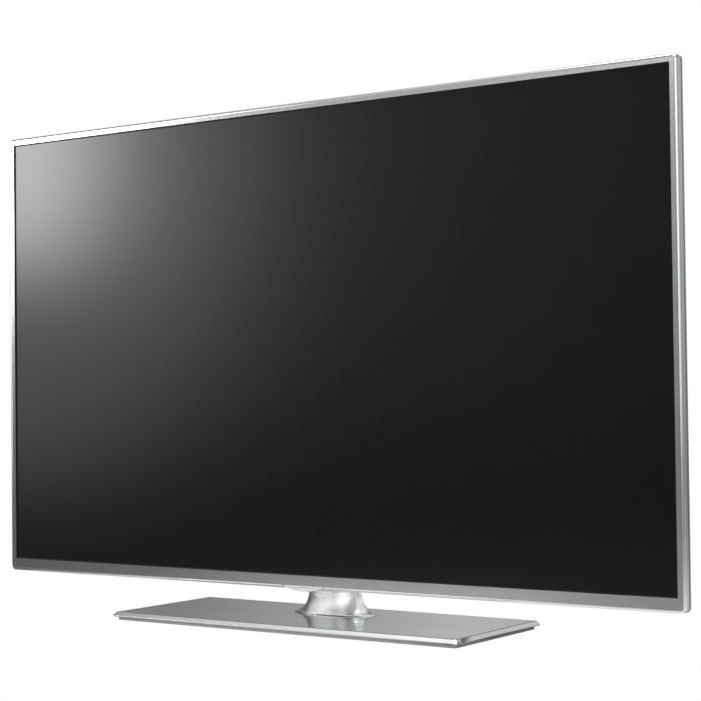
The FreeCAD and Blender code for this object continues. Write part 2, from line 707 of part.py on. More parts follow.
def panel_guide():
    half = SET_HALF_W - BEZEL_WALL - CHASSIS_GAP
    z0 = PANEL_Z0 - GUIDE_GAP - GUIDE_WALL
    z1 = SET_TOP - BEZEL_WALL - CHASSIS_GAP
    inner = half - GUIDE_WALL
    rim = slab(-half, half, z0, z1, BEZEL_CORNER_R - BEZEL_WALL, CF_D, CHASSIS_D)
    room = [block(-inner, inner, CF_D, GUIDE_D, PANEL_Z0 - GUIDE_GAP, z1 - GUIDE_WALL)]
    room.append(block(-inner, inner, SHEET_D, CHASSIS_D, z0, z1 - GUIDE_WALL))
    window = ACTIVE_W / 2 + 1
    middle = (OPEN_Z0 + OPEN_Z1) / 2
    reach = ACTIVE_H / 2 + 1
    room.append(block(-window, window, CF_D, CHASSIS_D, middle - reach, middle + reach))
    gate = COF_W / 2 + CLEAR
    room += [block(x - gate, x + gate, CF_D, TFT_D + CLEAR, z0, PANEL_Z0) for x in flex_xs()]
    return cut_all(rim, room)


def led_bar():
    reach = ACTIVE_W / 2
    board = block(-reach, reach, LIGHT_GUIDE_D, CHASSIS_D, LED_BOARD_Z, LED_Z)
    count = int(2 * (reach - LED_SIZE) // LED_PITCH) + 1
    half = LED_SIZE / 2
    lamps = []
    for i in range(count):
        x = LED_PITCH * (i - (count - 1) / 2)
        lamps.append(block(x - half, x + half, LIGHT_GUIDE_D, REFLECTOR_D, LED_Z, LED_Z + LED_H))
    return [board] + lamps


def back_chassis():
    """The pressed steel tray, with a lip under the lamps, pressed ribs and slits for the tails."""
    inset = BEZEL_WALL + CHASSIS_GAP
    half = SET_HALF_W - inset
    z0 = SET_Z + inset
    tray = set_slab(inset, CHASSIS_D, CHASSIS_BACK)
    straight = half - BEZEL_CORNER_R
    lip = block(-straight, straight, GUIDE_D, CHASSIS_D, z0, z0 + CHASSIS_T)
    ribs = []
    rib_x = half * 0.8
    rib_back = CHASSIS_BACK + CHASSIS_RIB_T
    spare = SET_TOP - BULGE_Z1
    for z in (BULGE_Z1 + spare * 0.2, BULGE_Z1 + spare * 0.6):
        ribs.append(block(-rib_x, rib_x, CHASSIS_BACK, rib_back, z, z + CHASSIS_RIB_W))
    gate = COF_W / 2 + CLEAR
    lens_x = LENS_HALF_W + CLEAR
    slits = [block(-lens_x, lens_x, GUIDE_D, CHASSIS_BACK, z0, SET_Z + LENS_TIP_ABOVE + CLEAR)]
    for x in flex_xs():
        low, high = FLEX_Z - CLEAR, FLEX_Z + FLEX_T + CLEAR
        slits.append(block(x - gate, x + gate, CHASSIS_D, CHASSIS_BACK, low, high))
    return cut_all(fuse([tray, lip] + ribs), slits)


def make_picture_module():
    keep("front_polariser", sheet(FILM_T, GLASS_D, FILM_T, GLASS_LEDGE))
    keep("colour_filter_glass", sheet(0, CF_D, GLASS_T, GLASS_LEDGE))
    keep("tft_glass", sheet(0, TFT_D, GLASS_T))
    keep("rear_polariser", sheet(FILM_T, REAR_POL_D, FILM_T))
    keep("panel_guide", panel_guide())
    keep("prism_sheet", sheet(FILM_T, SHEET_D, SHEET_T))
    keep("diffuser_sheets", *[sheet(FILM_T, SHEET_D + SHEET_T * (1 + i), SHEET_T) for i in range(2)])
    keep("light_guide", sheet(0, LIGHT_GUIDE_D, LIGHT_GUIDE_T))
    keep("reflector_sheet", sheet(0, REFLECTOR_D, REFLECTOR_T))
    keep("led_bar", *led_bar())
    reach = ACTIVE_W / 2
    keep("heat_spreader", block(-reach, reach, SHEET_D, CHASSIS_D, SPREADER_Z, LED_BOARD_Z))
    keep("back_chassis", back_chassis())
    keep("panel_flexes", *[flex_tail(x) for x in flex_xs()])
    boards = []
    for side in (-1, 1):
        x = side * SOURCE_BOARD_X
        half = SOURCE_BOARD_W / 2
        depths = (CHASSIS_BACK, CHASSIS_BACK + SOURCE_BOARD_T)
        boards.append(block(x - half, x + half, *depths, SPREADER_Z, SPREADER_Z + SOURCE_BOARD_H))
    keep("source_boards", *boards)


# Side frame and back cover
def cover_screw_places():
    """Along the four sides of the set, one row each, clear of the corners."""
    x = SET_HALF_W - COVER_SCREW_INSET
    top = SET_TOP - COVER_SCREW_INSET
    bottom = SET_Z + COVER_SCREW_INSET
    across = [SET_HALF_W * f for f in (-0.86, -0.43, 0, 0.43, 0.86)]
    low = [SET_HALF_W * f for f in (-0.93, 0.93)]
    up = [SET_Z + (SET_TOP - SET_Z) * f for f in (0.2, 0.5, 0.8)]
    sides = [(side * x, z) for side in (-1, 1) for z in up]
    return [(v, top) for v in across] + [(v, bottom) for v in low] + sides


def side_frame():
    ring = set_slab(0, SIDE_FRAME_D, RIM_D)
    seat = set_slab(BEZEL_WALL + CHASSIS_GAP, CHASSIS_BACK, SIDE_FRAME_D)
    hollow = set_slab(BEZEL_WALL + FRAME_LEDGE, CHASSIS_BACK, RIM_D)
    frame = fuse([ring, seat]).cut(hollow)
    lugs = []
    holes = []
    for x, z in cover_screw_places():
        half = FRAME_LUG / 2
        lugs.append(block(x - half, x + half, CHASSIS_BACK, RIM_D, z - half, z + half))
        holes.append(back_rod(x, z, COVER_SCREW_R, CHASSIS_BACK, RIM_D))
    whole = fuse([frame] + lugs).common(fuse([ring, seat]))
    return cut_all(whole, holes)


def bulge_form(inset, depth0):
    """The thick lower part of the back, with a sloping top, drawn in by an inset."""
    half = BULGE_HALF_W - inset
    slant = math.hypot(BULGE_TAPER, BULGE_T) / BULGE_T
    slope = BULGE_TAPER / BULGE_T
    back = BULGE_BACK - inset
    z0 = BULGE_Z0 + inset
    front_top = BULGE_Z1 - inset * slant - slope * (depth0 - BACK_D)
    back_top = BULGE_Z1 - inset * slant - slope * (back - BACK_D)
    corners = [(y_at(depth0), z0), (y_at(back), z0), (y_at(back), back_top), (y_at(depth0), front_top)]
    wedge = profile_x(corners, -half, half)
    radius = max(BULGE_CORNER_R - inset, 1.0)
    top = max(front_top, back_top)
    return wedge.common(slab(-half, half, z0, top, radius, depth0, back))


def bay_box(side, z0, z1, grow):
    """The room of a socket bay in the side of the bulge, grown by a wall on its inner sides."""
    inner = BAY_FLOOR_X - grow
    outer = BULGE_HALF_W + 1
    x0, x1 = (inner, outer) if side > 0 else (-outer, -inner)
    return block(x0, x1, BACK_D - grow, BULGE_BACK + 1, z0 - grow, z1 + grow)


def jack_bay(grow):
    return bay_box(1, BOARD_Z, BOARD_Z + MAIN_BOARD_H, grow)


def inlet_bay(grow):
    return bay_box(-1, BOARD_Z, BOARD_Z + INLET_BAY_H, grow)


def pod_form(inset, depth0):
    """The small hump behind the joystick."""
    half = POD_W / 2 - inset
    z0 = SET_Z + COVER_INSET
    return slab(-half, half, z0 + inset, z0 + POD_H, 3.0, depth0, BACK_D + POD_T - inset)


def vesa_places():
    half = VESA_SPACING / 2
    return [(sx * half, VESA_Z + sz * half) for sx in (-1, 1) for sz in (-1, 1)]


def vents():
    """Upright slots through the sloping top of the bulge, in two groups."""
    cutters = []
    middle = BULGE_Z1 - BULGE_TAPER / 2
    for side in (-1, 1):
        for i in range(VENT_COUNT):
            x = side * VENT_GROUP_X + VENT_PITCH * (i - (VENT_COUNT - 1) / 2)
            z0 = middle - VENT_H / 2
            cutters.append(block(x - VENT_W / 2, x + VENT_W / 2, BACK_D, BULGE_BACK, z0, z0 + VENT_H))
    return cutters


def speaker_mid_depth():
    return CHASSIS_BACK + SPEAKER_T / 2


def speaker_slots():
    """Slots in the underside, below each speaker."""
    cutters = []
    d0 = BACK_D + COVER_WALL
    half = VENT_W / 2
    for side in (-1, 1):
        for i in range(SLOT_COUNT):
            x = side * SPEAKER_X + VENT_PITCH * (i - (SLOT_COUNT - 1) / 2)
            cutters.append(block(x - half, x + half, d0, d0 + SLOT_LENGTH, BULGE_Z0, BULGE_Z0 + COVER_WALL))
    return cutters


def rear_cover():
    plate = set_slab(COVER_INSET, RIM_D, BACK_D)
    outer = bulge_form(0, BACK_D)
    outer = outer.cut(jack_bay(0)).cut(inlet_bay(0))
    shell = fuse([plate, outer, pod_form(0, BACK_D)])
    hollow = bulge_form(COVER_WALL, RIM_D).cut(jack_bay(COVER_WALL)).cut(inlet_bay(COVER_WALL))
    room = fuse([hollow, pod_form(COVER_WALL, RIM_D)])
    cutters = vents() + speaker_slots()
    wall = (BULGE_BACK - COVER_WALL, BULGE_BACK)
    cutters += [back_rod(x, z, VESA_POST_R + POST_CLEAR, *wall) for x, z in vesa_places()]
    cutters += [back_rod(x, z, HEAD_SCREW_R, *wall) for x, z in head_screw_places()]
    cutters += [back_rod(x, z, COVER_SCREW_R, RIM_D, BACK_D) for x, z in cover_screw_places()]
    top = BOARD_BACK + JACK_PANEL_H
    z0, z1 = BOARD_Z + BOARD_END / 2, BOARD_Z + MAIN_BOARD_H - BOARD_END / 2
    cutters.append(block(JACK_PANEL_X, BAY_FLOOR_X, BOARD_BACK - SOCKET_FIT, top, z0, z1))
    reach = INLET_W / 2 + SOCKET_FIT
    low, high = BOARD_BACK - SOCKET_FIT, BOARD_BACK + INLET_H + SOCKET_FIT
    cutters.append(block(-BAY_FLOOR_X, -JACK_PANEL_X, low, high, INLET_Z - reach, INLET_Z + reach))
    lean = math.radians(STICK_TILT)
    hole_r = KNOB_R + math.sin(lean) * (STICK_PIVOT_H + KNOB_DROP) + CLEAR + FACE_CLEAR
    cutters.append(rod(0, y_at(STICK_DEPTH), SET_Z, hole_r, COVER_INSET + COVER_WALL + 1, (0, 0, 1)))
    return cut_all(shell.cut(room), cutters)


def make_back():
    keep("side_frame", side_frame())
    keep("rear_cover", rear_cover())
    sizes = (COVER_SCREW_LENGTH, COVER_SCREW_R, COVER_SCREW_HEAD_R, COVER_SCREW_HEAD)
    keep("cover_screws", *[back_screw(x, z, BACK_D, *sizes) for x, z in cover_screw_places()])
    posts = []
    for x, z in vesa_places():
        post = back_rod(x, z, VESA_POST_R, CHASSIS_BACK, BULGE_BACK)
        posts.append(post.cut(back_rod(x, z, VESA_R, BULGE_BACK - VESA_BORE_DEPTH, BULGE_BACK)))
    keep("wall_mount_posts", *posts)


# Electronics
def main_outline():
    return BOARD_EDGE_X - MAIN_BOARD_W, BOARD_EDGE_X, BOARD_Z, BOARD_Z + MAIN_BOARD_H


def power_outline():
    return -BOARD_EDGE_X, -BOARD_EDGE_X + POWER_BOARD_W, BOARD_Z, BOARD_Z + POWER_BOARD_H


def tcon_outline():
    return -TCON_W / 2, TCON_W / 2, TCON_Z, TCON_Z + TCON_H


def board_screw_places():
    """Four screws to a board; on the main board they keep clear of the deepest socket."""
    places = []
    for x0, x1, z0, z1 in (main_outline(), power_outline(), tcon_outline()):
        right = min(x1, BAY_FLOOR_X - CARD_LENGTH)
        xs = (x0 + BOARD_MARGIN, right - BOARD_MARGIN)
        places += [(x, z) for x in xs for z in (z0 + BOARD_MARGIN, z1 - BOARD_MARGIN)]
    return places


def board(outline):
    x0, x1, z0, z1 = outline
    plate = block(x0, x1, BOARD_D, BOARD_BACK, z0, z1)
    holes = [back_rod(x, z, BOARD_SCREW_R, BOARD_D, BOARD_BACK) for x, z in board_screw_places()]
    return cut_all(plate, holes)


def chip(x, z, width, height, thick):
    """A part soldered to the back face of a board, centred on the point."""
    return block(x - width / 2, x + width / 2, BOARD_BACK, BOARD_BACK + thick, z - height / 2, z + height / 2)


def power_plug():
    """Where the supply cable meets the two large boards: the X of each plug's free end, and its height."""
    return power_outline()[1] - 4, main_outline()[0] + 4, BOARD_Z + MAIN_BOARD_H * 0.45


def panel_plug():
    """Where the picture cable meets the timing board and the main board."""
    return TCON_W / 2 - 8, TCON_Z + TCON_H / 2, main_outline()[0] + 8, BOARD_Z + MAIN_BOARD_H - 26


def speaker_plug():
    return main_outline()[0] + 30, BOARD_Z + 8


def heat_sink():
    x = main_outline()[0] + MAIN_BOARD_W * 0.45
    z = BOARD_Z + MAIN_BOARD_H * 0.5
    half = HEAT_SINK / 2
    foot = BOARD_BACK + 2
    solids = [block(x - half, x + half, foot, foot + 2, z - half, z + half)]
    pitch = (HEAT_SINK - 1.5) / (HEAT_SINK_FINS - 1)
    for i in range(HEAT_SINK_FINS):
        left = x - half + pitch * i
        solids.append(block(left, left + 1.5, foot + 2, foot + 2 + HEAT_SINK_FIN_H, z - half, z + half))
    return fuse(solids), chip(x, z, HEAT_SINK * 0.7, HEAT_SINK * 0.7, 2)


def cable_ends():
    """Routes of the wires inside, each with its radius and the radius of its bends."""
    d = BOARD_BACK + PLUG_H / 2
    low = CHASSIS_BACK + CABLE_R + 1
    left, right, z = power_plug()
    supply = [(left, y_at(d), z), (left + CABLE_STRAIGHT, y_at(d), z), (left + CABLE_DIP, y_at(low), z)]
    supply += [(right - CABLE_DIP, y_at(low), z), (right - CABLE_STRAIGHT, y_at(d), z), (right, y_at(d), z)]
    x0, z0, x1, z1 = panel_plug()
    turn = (x0 + x1) / 2 + 25
    picture = [(x0, y_at(d), z0), (turn, y_at(d), z0), (turn, y_at(d), z1), (x1, y_at(d), z1)]
    sx, sz = speaker_plug()
    box_x = SPEAKER_X - SPEAKER_W / 2
    box_z = SPEAKER_Z + SPEAKER_H * 0.45
    run_z = BOARD_Z - SPEAKER_WIRE_DROP
    right_wire = [(sx + 14, y_at(d), sz), (sx + 14, y_at(d), box_z), (box_x, y_at(d), box_z)]
    left_wire = [(sx, y_at(d), sz), (sx, y_at(d), run_z), (SPEAKER_WIRE_TURN - box_x, y_at(d), run_z)]
    left_wire += [(SPEAKER_WIRE_TURN / 3 - box_x, y_at(d), box_z), (-box_x, y_at(d), box_z)]
    return [(supply, CABLE_R, 14.0), (picture, CABLE_R, 10.0)] + [
        (wire, SPEAKER_WIRE_R, 9.0) for wire in (right_wire, left_wire)]


def socket_places():
    """The middle height of every socket on the jack panel, from the bottom up."""
    places = {}
    z = BOARD_Z + BOARD_END
    for name, count, length in SOCKETS:
        places[name] = []
        for _ in range(count):
            places[name].append((z + length / 2, length))
            z += length + SOCKET_GAP
    return places


def socket(z, length, height, deep, mouth_l, mouth_h, tongue_l=0.0):
    """A socket on the main board with its mouth flush with the floor of the bay."""
    x1 = BAY_FLOOR_X
    middle = BOARD_BACK + height / 2
    shell = block(x1 - deep, x1, BOARD_BACK, BOARD_BACK + height, z - length / 2, z + length / 2)
    floor = x1 - deep + SOCKET_BACK
    low, high = middle - mouth_h / 2, middle + mouth_h / 2
    shell = shell.cut(block(floor, x1, low, high, z - mouth_l / 2, z + mouth_l / 2))
    if tongue_l:
        half = tongue_l / 2
        tongue = block(floor, x1 - 1, middle - TONGUE_T / 2, middle + TONGUE_T / 2, z - half, z + half)
        shell = fuse([shell, tongue])
    return shell


def round_socket(z, length, height, deep, bore_r):
    """A block on the main board with a round jack in its outer face."""
    x1 = BAY_FLOOR_X
    shell = block(x1 - deep, x1, BOARD_BACK, BOARD_BACK + height, z - length / 2, z + length / 2)
    return shell.cut(rod(x1 - deep + SOCKET_BACK, y_at(BOARD_BACK + height / 2), z, bore_r, deep, (1, 0, 0)))


def aerial_socket(z):
    """The round aerial socket, a tube that stands out of its can."""
    half = AERIAL_R + AERIAL_CAN_WALL
    y = y_at(BOARD_BACK + half)
    start = JACK_PANEL_X - JACK_PANEL_T
    can = block(start - AERIAL_CAN_LENGTH, start, BOARD_BACK, BOARD_BACK + 2 * half, z - half, z + half)
    tube = rod(start, y, z, AERIAL_R, AERIAL_LENGTH, (1, 0, 0))
    return fuse([can, tube]).cut(rod(start, y, z, AERIAL_BORE_R, AERIAL_LENGTH, (1, 0, 0)))


def make_sockets():
    """The sockets and the three metal plates, one above the other, that they come through."""
    places = socket_places()
    keep("aerial_socket", *[aerial_socket(z) for z, _ in places["aerial_socket"]])
    sizes = (LAN_H, LAN_LENGTH, LAN_MOUTH_L, LAN_MOUTH_H)
    keep("lan_socket", *[socket(z, w, *sizes) for z, w in places["lan_socket"]])
    sizes = (HDMI_H, HDMI_LENGTH, HDMI_MOUTH_L, HDMI_MOUTH_H, HDMI_MOUTH_L - 3)
    keep("hdmi_sockets", *[socket(z, w, *sizes) for z, w in places["hdmi_sockets"]])
    sizes = (AUDIO_H, AUDIO_LENGTH, AUDIO_BORE_R)
    keep("audio_sockets", *[round_socket(z, w, *sizes) for z, w in places["audio_sockets"]])
    sizes = (USB_H, USB_LENGTH, USB_MOUTH_L, USB_MOUTH_H, USB_MOUTH_L - 1.5)
    keep("usb_sockets", *[socket(z, w, *sizes) for z, w in places["usb_sockets"]])
    sizes = (CARD_H, CARD_LENGTH, CARD_MOUTH_L, CARD_MOUTH_H)
    keep("card_slot", *[socket(z, w, *sizes) for z, w in places["card_slot"]])
    heights = {"lan_socket": LAN_H, "hdmi_sockets": HDMI_H, "audio_sockets": AUDIO_H}
    heights.update({"usb_sockets": USB_H, "card_slot": CARD_H})
    x0 = JACK_PANEL_X - JACK_PANEL_T
    low = BOARD_BACK
    back = low + JACK_PANEL_H + JACK_PANEL_LAP
    panel = block(x0, JACK_PANEL_X, low, back, BOARD_Z, BOARD_Z + MAIN_BOARD_H)
    holes = []
    for name, height in heights.items():
        for z, length in places[name]:
            reach = length / 2 + SOCKET_FIT
            holes.append(block(x0, JACK_PANEL_X, low, low + height + SOCKET_FIT, z - reach, z + reach))
    for z, _ in places["aerial_socket"]:
        y = y_at(low + AERIAL_R + AERIAL_CAN_WALL)
        holes.append(rod(x0, y, z, AERIAL_R + SOCKET_FIT, JACK_PANEL_T, (1, 0, 0)))
    seams = []
    for name in ("hdmi_sockets", "card_slot"):
        middle, length = places[name][0]
        seams.append(middle - (length + SOCKET_GAP) / 2)
    holes += [block(x0, JACK_PANEL_X, low, back, z - FACE_CLEAR, z + FACE_CLEAR) for z in seams]
    keep("jack_panel", cut_all(panel, holes))


def ac_inlet():
    """The figure-eight mains inlet with its two pins."""
    mid = BOARD_BACK + INLET_H / 2
    half = INLET_W / 2
    x0 = -BAY_FLOOR_X
    body = block(x0, x0 + INLET_LENGTH, BOARD_BACK, BOARD_BACK + INLET_H, INLET_Z - half, INLET_Z + half)
    mouth_r = INLET_H / 2 - INLET_WALL
    gap = INLET_PIN_SPACING / 2
    mouth = [rod(x0, y_at(mid), INLET_Z + s * gap, mouth_r, INLET_MOUTH_DEPTH, (1, 0, 0)) for s in (-1, 1)]
    deep = x0 + INLET_MOUTH_DEPTH
    mouth.append(block(x0, deep, mid - mouth_r, mid + mouth_r, INLET_Z - gap, INLET_Z + gap))
    pin_x = x0 + INLET_MOUTH_DEPTH - INLET_PIN_LENGTH
    reach = INLET_PIN_LENGTH + 2
    pins = [rod(pin_x, y_at(mid), INLET_Z + s * gap, INLET_PIN_R, reach, (1, 0, 0)) for s in (-1, 1)]
    return fuse([body.cut(fuse(mouth))] + pins)


def make_electronics():
    standoffs = []
    for x, z in board_screw_places():
        bore = back_rod(x, z, BOARD_SCREW_R, BOARD_D - BOARD_SCREW_BITE, BOARD_D)
        standoffs.append(back_rod(x, z, STANDOFF_R, CHASSIS_BACK, BOARD_D).cut(bore))
    keep("board_standoffs", *standoffs)
    sizes = (BOARD_T + BOARD_SCREW_BITE, BOARD_SCREW_R, BOARD_SCREW_HEAD_R, BOARD_SCREW_HEAD)
    keep("board_screws", *[back_screw(x, z, BOARD_BACK, *sizes) for x, z in board_screw_places()])
    sink, processor = heat_sink()
    keep("heat_sink", sink)
    left, right, supply_z = power_plug()
    x0, z0, x1, z1 = panel_plug()
    sx, sz = speaker_plug()
    plug_x = PLUG_W / 2
    plugs = [chip(right + plug_x, supply_z, PLUG_W, 26, PLUG_H), chip(x1 + plug_x, z1, PLUG_W, 24, PLUG_H)]
    plugs.append(chip(sx + 7, sz + 4, 26, 8, PLUG_H))
    memory = [chip(main_outline()[0] + 22, BOARD_Z + 60 + 22 * i, 14, 9, 1.2) for i in range(2)]
    keep("main_board", board(main_outline()), processor, *plugs, *memory)
    px0, px1, pz0, pz1 = power_outline()
    keep("power_board", board(power_outline()), chip(left - plug_x, supply_z, PLUG_W, 26, PLUG_H))
    wound_x = px1 - TRANSFORMER_FROM_END
    wound_z = pz0 + TRANSFORMER_FROM_BOTTOM
    large = chip(wound_x, wound_z, TRANSFORMER_W, TRANSFORMER_H, TRANSFORMER_T)
    small = (TRANSFORMER_W * 0.85, TRANSFORMER_H * 0.88, TRANSFORMER_T * 0.93)
    keep("transformers", large, chip(wound_x, wound_z + TRANSFORMER_PITCH, *small))
    can_y = y_at(BOARD_BACK + CAPACITOR_R)
    can_zs = [pz1 - CAPACITOR_FROM_TOP - CAPACITOR_PITCH * i for i in range(3)]
    can_x = px0 + CAPACITOR_FROM_END
    keep("capacitors", *[rod(can_x, can_y, z, CAPACITOR_R, CAPACITOR_LENGTH, (1, 0, 0)) for z in can_zs])
    keep("timing_board", board(tcon_outline()), chip(0, TCON_Z + TCON_H / 2, 20, 20, 1.5),
         chip(x0 - plug_x, z0, PLUG_W, 24, PLUG_H))
    make_sockets()
    keep("ac_inlet", ac_inlet())
    keep("inner_cables", *[bent_tube(points, radius, bend) for points, radius, bend in cable_ends()])


# Speakers
def speaker_box(side):
    x = side * SPEAKER_X
    half = SPEAKER_W / 2
    wall = SPEAKER_WALL
    d0, d1 = CHASSIS_BACK, CHASSIS_BACK + SPEAKER_T
    z0, z1 = SPEAKER_Z, SPEAKER_Z + SPEAKER_H
    case = block(x - half, x + half, d0, d1, z0, z1)
    room = block(x - half + wall, x + half - wall, d0 + wall, d1 - wall, z0 + wall, z1 - wall)
    return case.cut(room).cut(rod(x, y_at(speaker_mid_depth()), z0, CONE_R + CLEAR, wall, (0, 0, 1)))


def cone_rim_z():
    return SPEAKER_Z + max(SPEAKER_WALL / 2, CONE_TRAVEL)


def speaker_driver(side):
    """The basket and magnet of one driver, with the ring groove that the coil moves in."""
    x = side * SPEAKER_X
    y = y_at(speaker_mid_depth())
    z0 = SPEAKER_Z + SPEAKER_WALL
    plate_z = z0 + BASKET_H
    body = rod(x, y, z0, DRIVER_R, BASKET_H + MAGNET_H, (0, 0, 1))
    body = body.cut(rod(x, y, z0, CONE_R + CLEAR, BASKET_H, (0, 0, 1)))
    coil_top = cone_rim_z() + CONE_H + COIL_H + CONE_TRAVEL + CLEAR
    depth = coil_top - plate_z
    groove = rod(x, y, plate_z, COIL_R + CLEAR, depth, (0, 0, 1))
    return body.cut(groove.cut(rod(x, y, plate_z, COIL_R - CONE_SHELL - CLEAR, depth, (0, 0, 1))))


def speaker_cone(side):
    """The thin cone with its closed middle and the coil tube behind it, turned about its axis."""
    x = side * SPEAKER_X
    y = y_at(speaker_mid_depth())
    rim = cone_rim_z()
    neck = rim + CONE_H
    shell = CONE_SHELL
    section = [(0, neck), (COIL_R, neck), (CONE_R, rim), (CONE_R, rim + shell), (COIL_R, neck + shell)]
    section += [(COIL_R, neck + COIL_H), (COIL_R - shell, neck + COIL_H), (COIL_R - shell, neck + shell)]
    section += [(0, neck + shell)]
    wire = Part.makePolygon([Vector(x + r, y, z) for r, z in section + section[:1]])
    return Part.Face(wire).revolve(Vector(x, y, 0), Vector(0, 0, 1), 360)


def make_speakers():
    keep("speaker_boxes", speaker_box(-1), speaker_box(1))
    keep("speaker_drivers", speaker_driver(-1), speaker_driver(1))
    keep("speaker_cone_left", speaker_cone(-1))
    keep("speaker_cone_right", speaker_cone(1))


# Joystick
def stick_bracket():
    """The fixed frame that carries the joystick: a top plate on the chassis and two cheeks."""
    y = y_at(STICK_DEPTH)
    inner = ring_half() + CLEAR
    outer = inner + CHEEK_T
    top = STICK_Z + ROCKER_H / 2 + 3
    deep = ring_half() + CLEAR
    plate = block(-outer, outer, CHASSIS_BACK, STICK_DEPTH + deep, top, top + CHEEK_T)
    cheeks = [box(min(s * inner, s * outer), max(s * inner, s * outer), y - 3, y + 3, STICK_Z - 2.5, top)
              for s in (-1, 1)]
    pad_z = stem_top() + STICK_PRESS + CLEAR
    pad = box(-2.5, 2.5, y - 2.5, y + 2.5, pad_z, top)
    holes = [rod(s * inner, y, STICK_Z, PIN_R + RUNNING_FIT, CHEEK_T, (s, 0, 0)) for s in (-1, 1)]
    return cut_all(fuse([plate, pad] + cheeks), holes)


def ring_half():
    return ROCKER_HALF + CLEAR + RING_WALL


def stem_top():
    return STICK_Z + ROCKER_H / 2 + 1


def stick_gimbal():
    """The ring that tilts to and fro on two pins along X."""
    y = y_at(STICK_DEPTH)
    outer = ring_half()
    inner = outer - RING_WALL
    h = ROCKER_H / 2
    ring = box(-outer, outer, y - outer, y + outer, STICK_Z - h, STICK_Z + h)
    ring = ring.cut(box(-inner, inner, y - inner, y + inner, STICK_Z - h, STICK_Z + h))
    holes = [rod(0, y + s * inner, STICK_Z, PIN_R + RUNNING_FIT, RING_WALL, (0, s, 0)) for s in (-1, 1)]
    pins = [rod(s * outer, y, STICK_Z, PIN_R, CLEAR + CHEEK_T, (s, 0, 0)) for s in (-1, 1)]
    return fuse([cut_all(ring, holes)] + pins)


def stick_rocker():
    """The block that tilts sideways in the ring and guides the stem."""
    y = y_at(STICK_DEPTH)
    half = ROCKER_HALF
    h = ROCKER_H / 2
    core = box(-half, half, y - half, y + half, STICK_Z - h, STICK_Z + h)
    pins = [rod(0, y + s * half, STICK_Z, PIN_R, CLEAR + RING_WALL, (0, s, 0)) for s in (-1, 1)]
    return fuse([core] + pins).cut(rod(0, y, STICK_Z - h, STEM_R + RUNNING_FIT, ROCKER_H, (0, 0, 1)))


def stick_knob():
    y = y_at(STICK_DEPTH)
    z = SET_Z - KNOB_DROP
    cap = rod(0, y, z, KNOB_R, KNOB_CAP_H, (0, 0, 1))
    cap = cap.makeFillet(KNOB_R * 0.3, [e for e in cap.Edges if e.BoundBox.ZMax < z + 1e-6])
    stem_z = z + KNOB_CAP_H
    return fuse([cap, rod(0, y, stem_z, STEM_R, stem_top() - stem_z, (0, 0, 1))])


def make_joystick():
    keep("stick_bracket", stick_bracket())
    keep("stick_gimbal", stick_gimbal())
    keep("stick_rocker", stick_rocker())
    keep("stick_knob", stick_knob())


if __name__ == "__main__":
    make_base()
    make_stand_top()
    make_front()
    make_picture_module()
    make_back()
    make_electronics()
    make_speakers()
    make_joystick()
    os.makedirs("parts", exist_ok=True)
    for name, solids in NODES.items():
        shape = solids[0] if len(solids) == 1 else Part.makeCompound(solids)
        shape.exportStep(f"parts/{name}.step")
        print(name, len(solids), round(shape.Volume), shape.isValid())
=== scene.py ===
# %% [markdown]
# # A flat screen television, dressed in Blender
#
# The television comes as a frame of real solids: casing, picture module, boards, stand. That frame holds
# every size and every moving part. This lesson gives it its looks. Some pieces keep their solids and only
# get a finish. The ones that the eye rests on, such as the silver bezel, the chromed neck and the base,
# are built again as fine meshes with rounded edges, because a soft edge is what catches the light.
#
# All lengths here are in metres. X runs to the viewer's right, Y to the back and Z up.

# %% Load the frame
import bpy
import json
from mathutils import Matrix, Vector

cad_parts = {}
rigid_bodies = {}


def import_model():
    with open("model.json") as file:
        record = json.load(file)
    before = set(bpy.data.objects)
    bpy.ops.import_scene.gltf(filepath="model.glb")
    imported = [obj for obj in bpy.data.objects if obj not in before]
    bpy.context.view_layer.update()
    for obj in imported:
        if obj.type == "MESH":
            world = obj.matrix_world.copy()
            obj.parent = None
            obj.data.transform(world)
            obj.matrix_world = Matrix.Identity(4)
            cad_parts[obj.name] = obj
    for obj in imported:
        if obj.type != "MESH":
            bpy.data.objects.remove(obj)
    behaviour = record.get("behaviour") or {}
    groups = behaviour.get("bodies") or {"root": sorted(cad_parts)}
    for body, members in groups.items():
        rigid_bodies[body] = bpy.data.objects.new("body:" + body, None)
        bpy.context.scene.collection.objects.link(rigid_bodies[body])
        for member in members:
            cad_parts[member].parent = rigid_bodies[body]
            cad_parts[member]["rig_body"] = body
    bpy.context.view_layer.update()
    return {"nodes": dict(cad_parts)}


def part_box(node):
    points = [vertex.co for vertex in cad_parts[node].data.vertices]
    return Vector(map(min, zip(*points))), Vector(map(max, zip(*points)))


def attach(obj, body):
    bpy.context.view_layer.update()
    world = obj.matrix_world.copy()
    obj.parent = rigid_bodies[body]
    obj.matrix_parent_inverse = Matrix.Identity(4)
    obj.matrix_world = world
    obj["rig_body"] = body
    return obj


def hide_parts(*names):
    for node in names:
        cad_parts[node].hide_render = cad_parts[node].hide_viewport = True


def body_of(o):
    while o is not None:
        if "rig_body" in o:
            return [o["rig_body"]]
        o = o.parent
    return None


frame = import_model()

# %% Tools for the rest of the lesson
import json
import math

import bmesh
import bpy
from mathutils import Matrix, Vector

MM = 0.001
WELD = 0.001 * MM
SMOOTH_ANGLE = math.radians(32)


def size_of(node):
    """Width, depth and height of a node."""
    low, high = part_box(node)
    return high - low


def settle(target):
    """Makes the modified mesh the object's own and clears the modifiers."""
    graph = bpy.context.evaluated_depsgraph_get()
    data = bpy.data.meshes.new_from_object(target.evaluated_get(graph))
    target.modifiers.clear()
    old = target.data
    target.data = data
    bpy.data.meshes.remove(old)


print("the set is", round(size_of("front_bezel").x / MM), "mm wide")

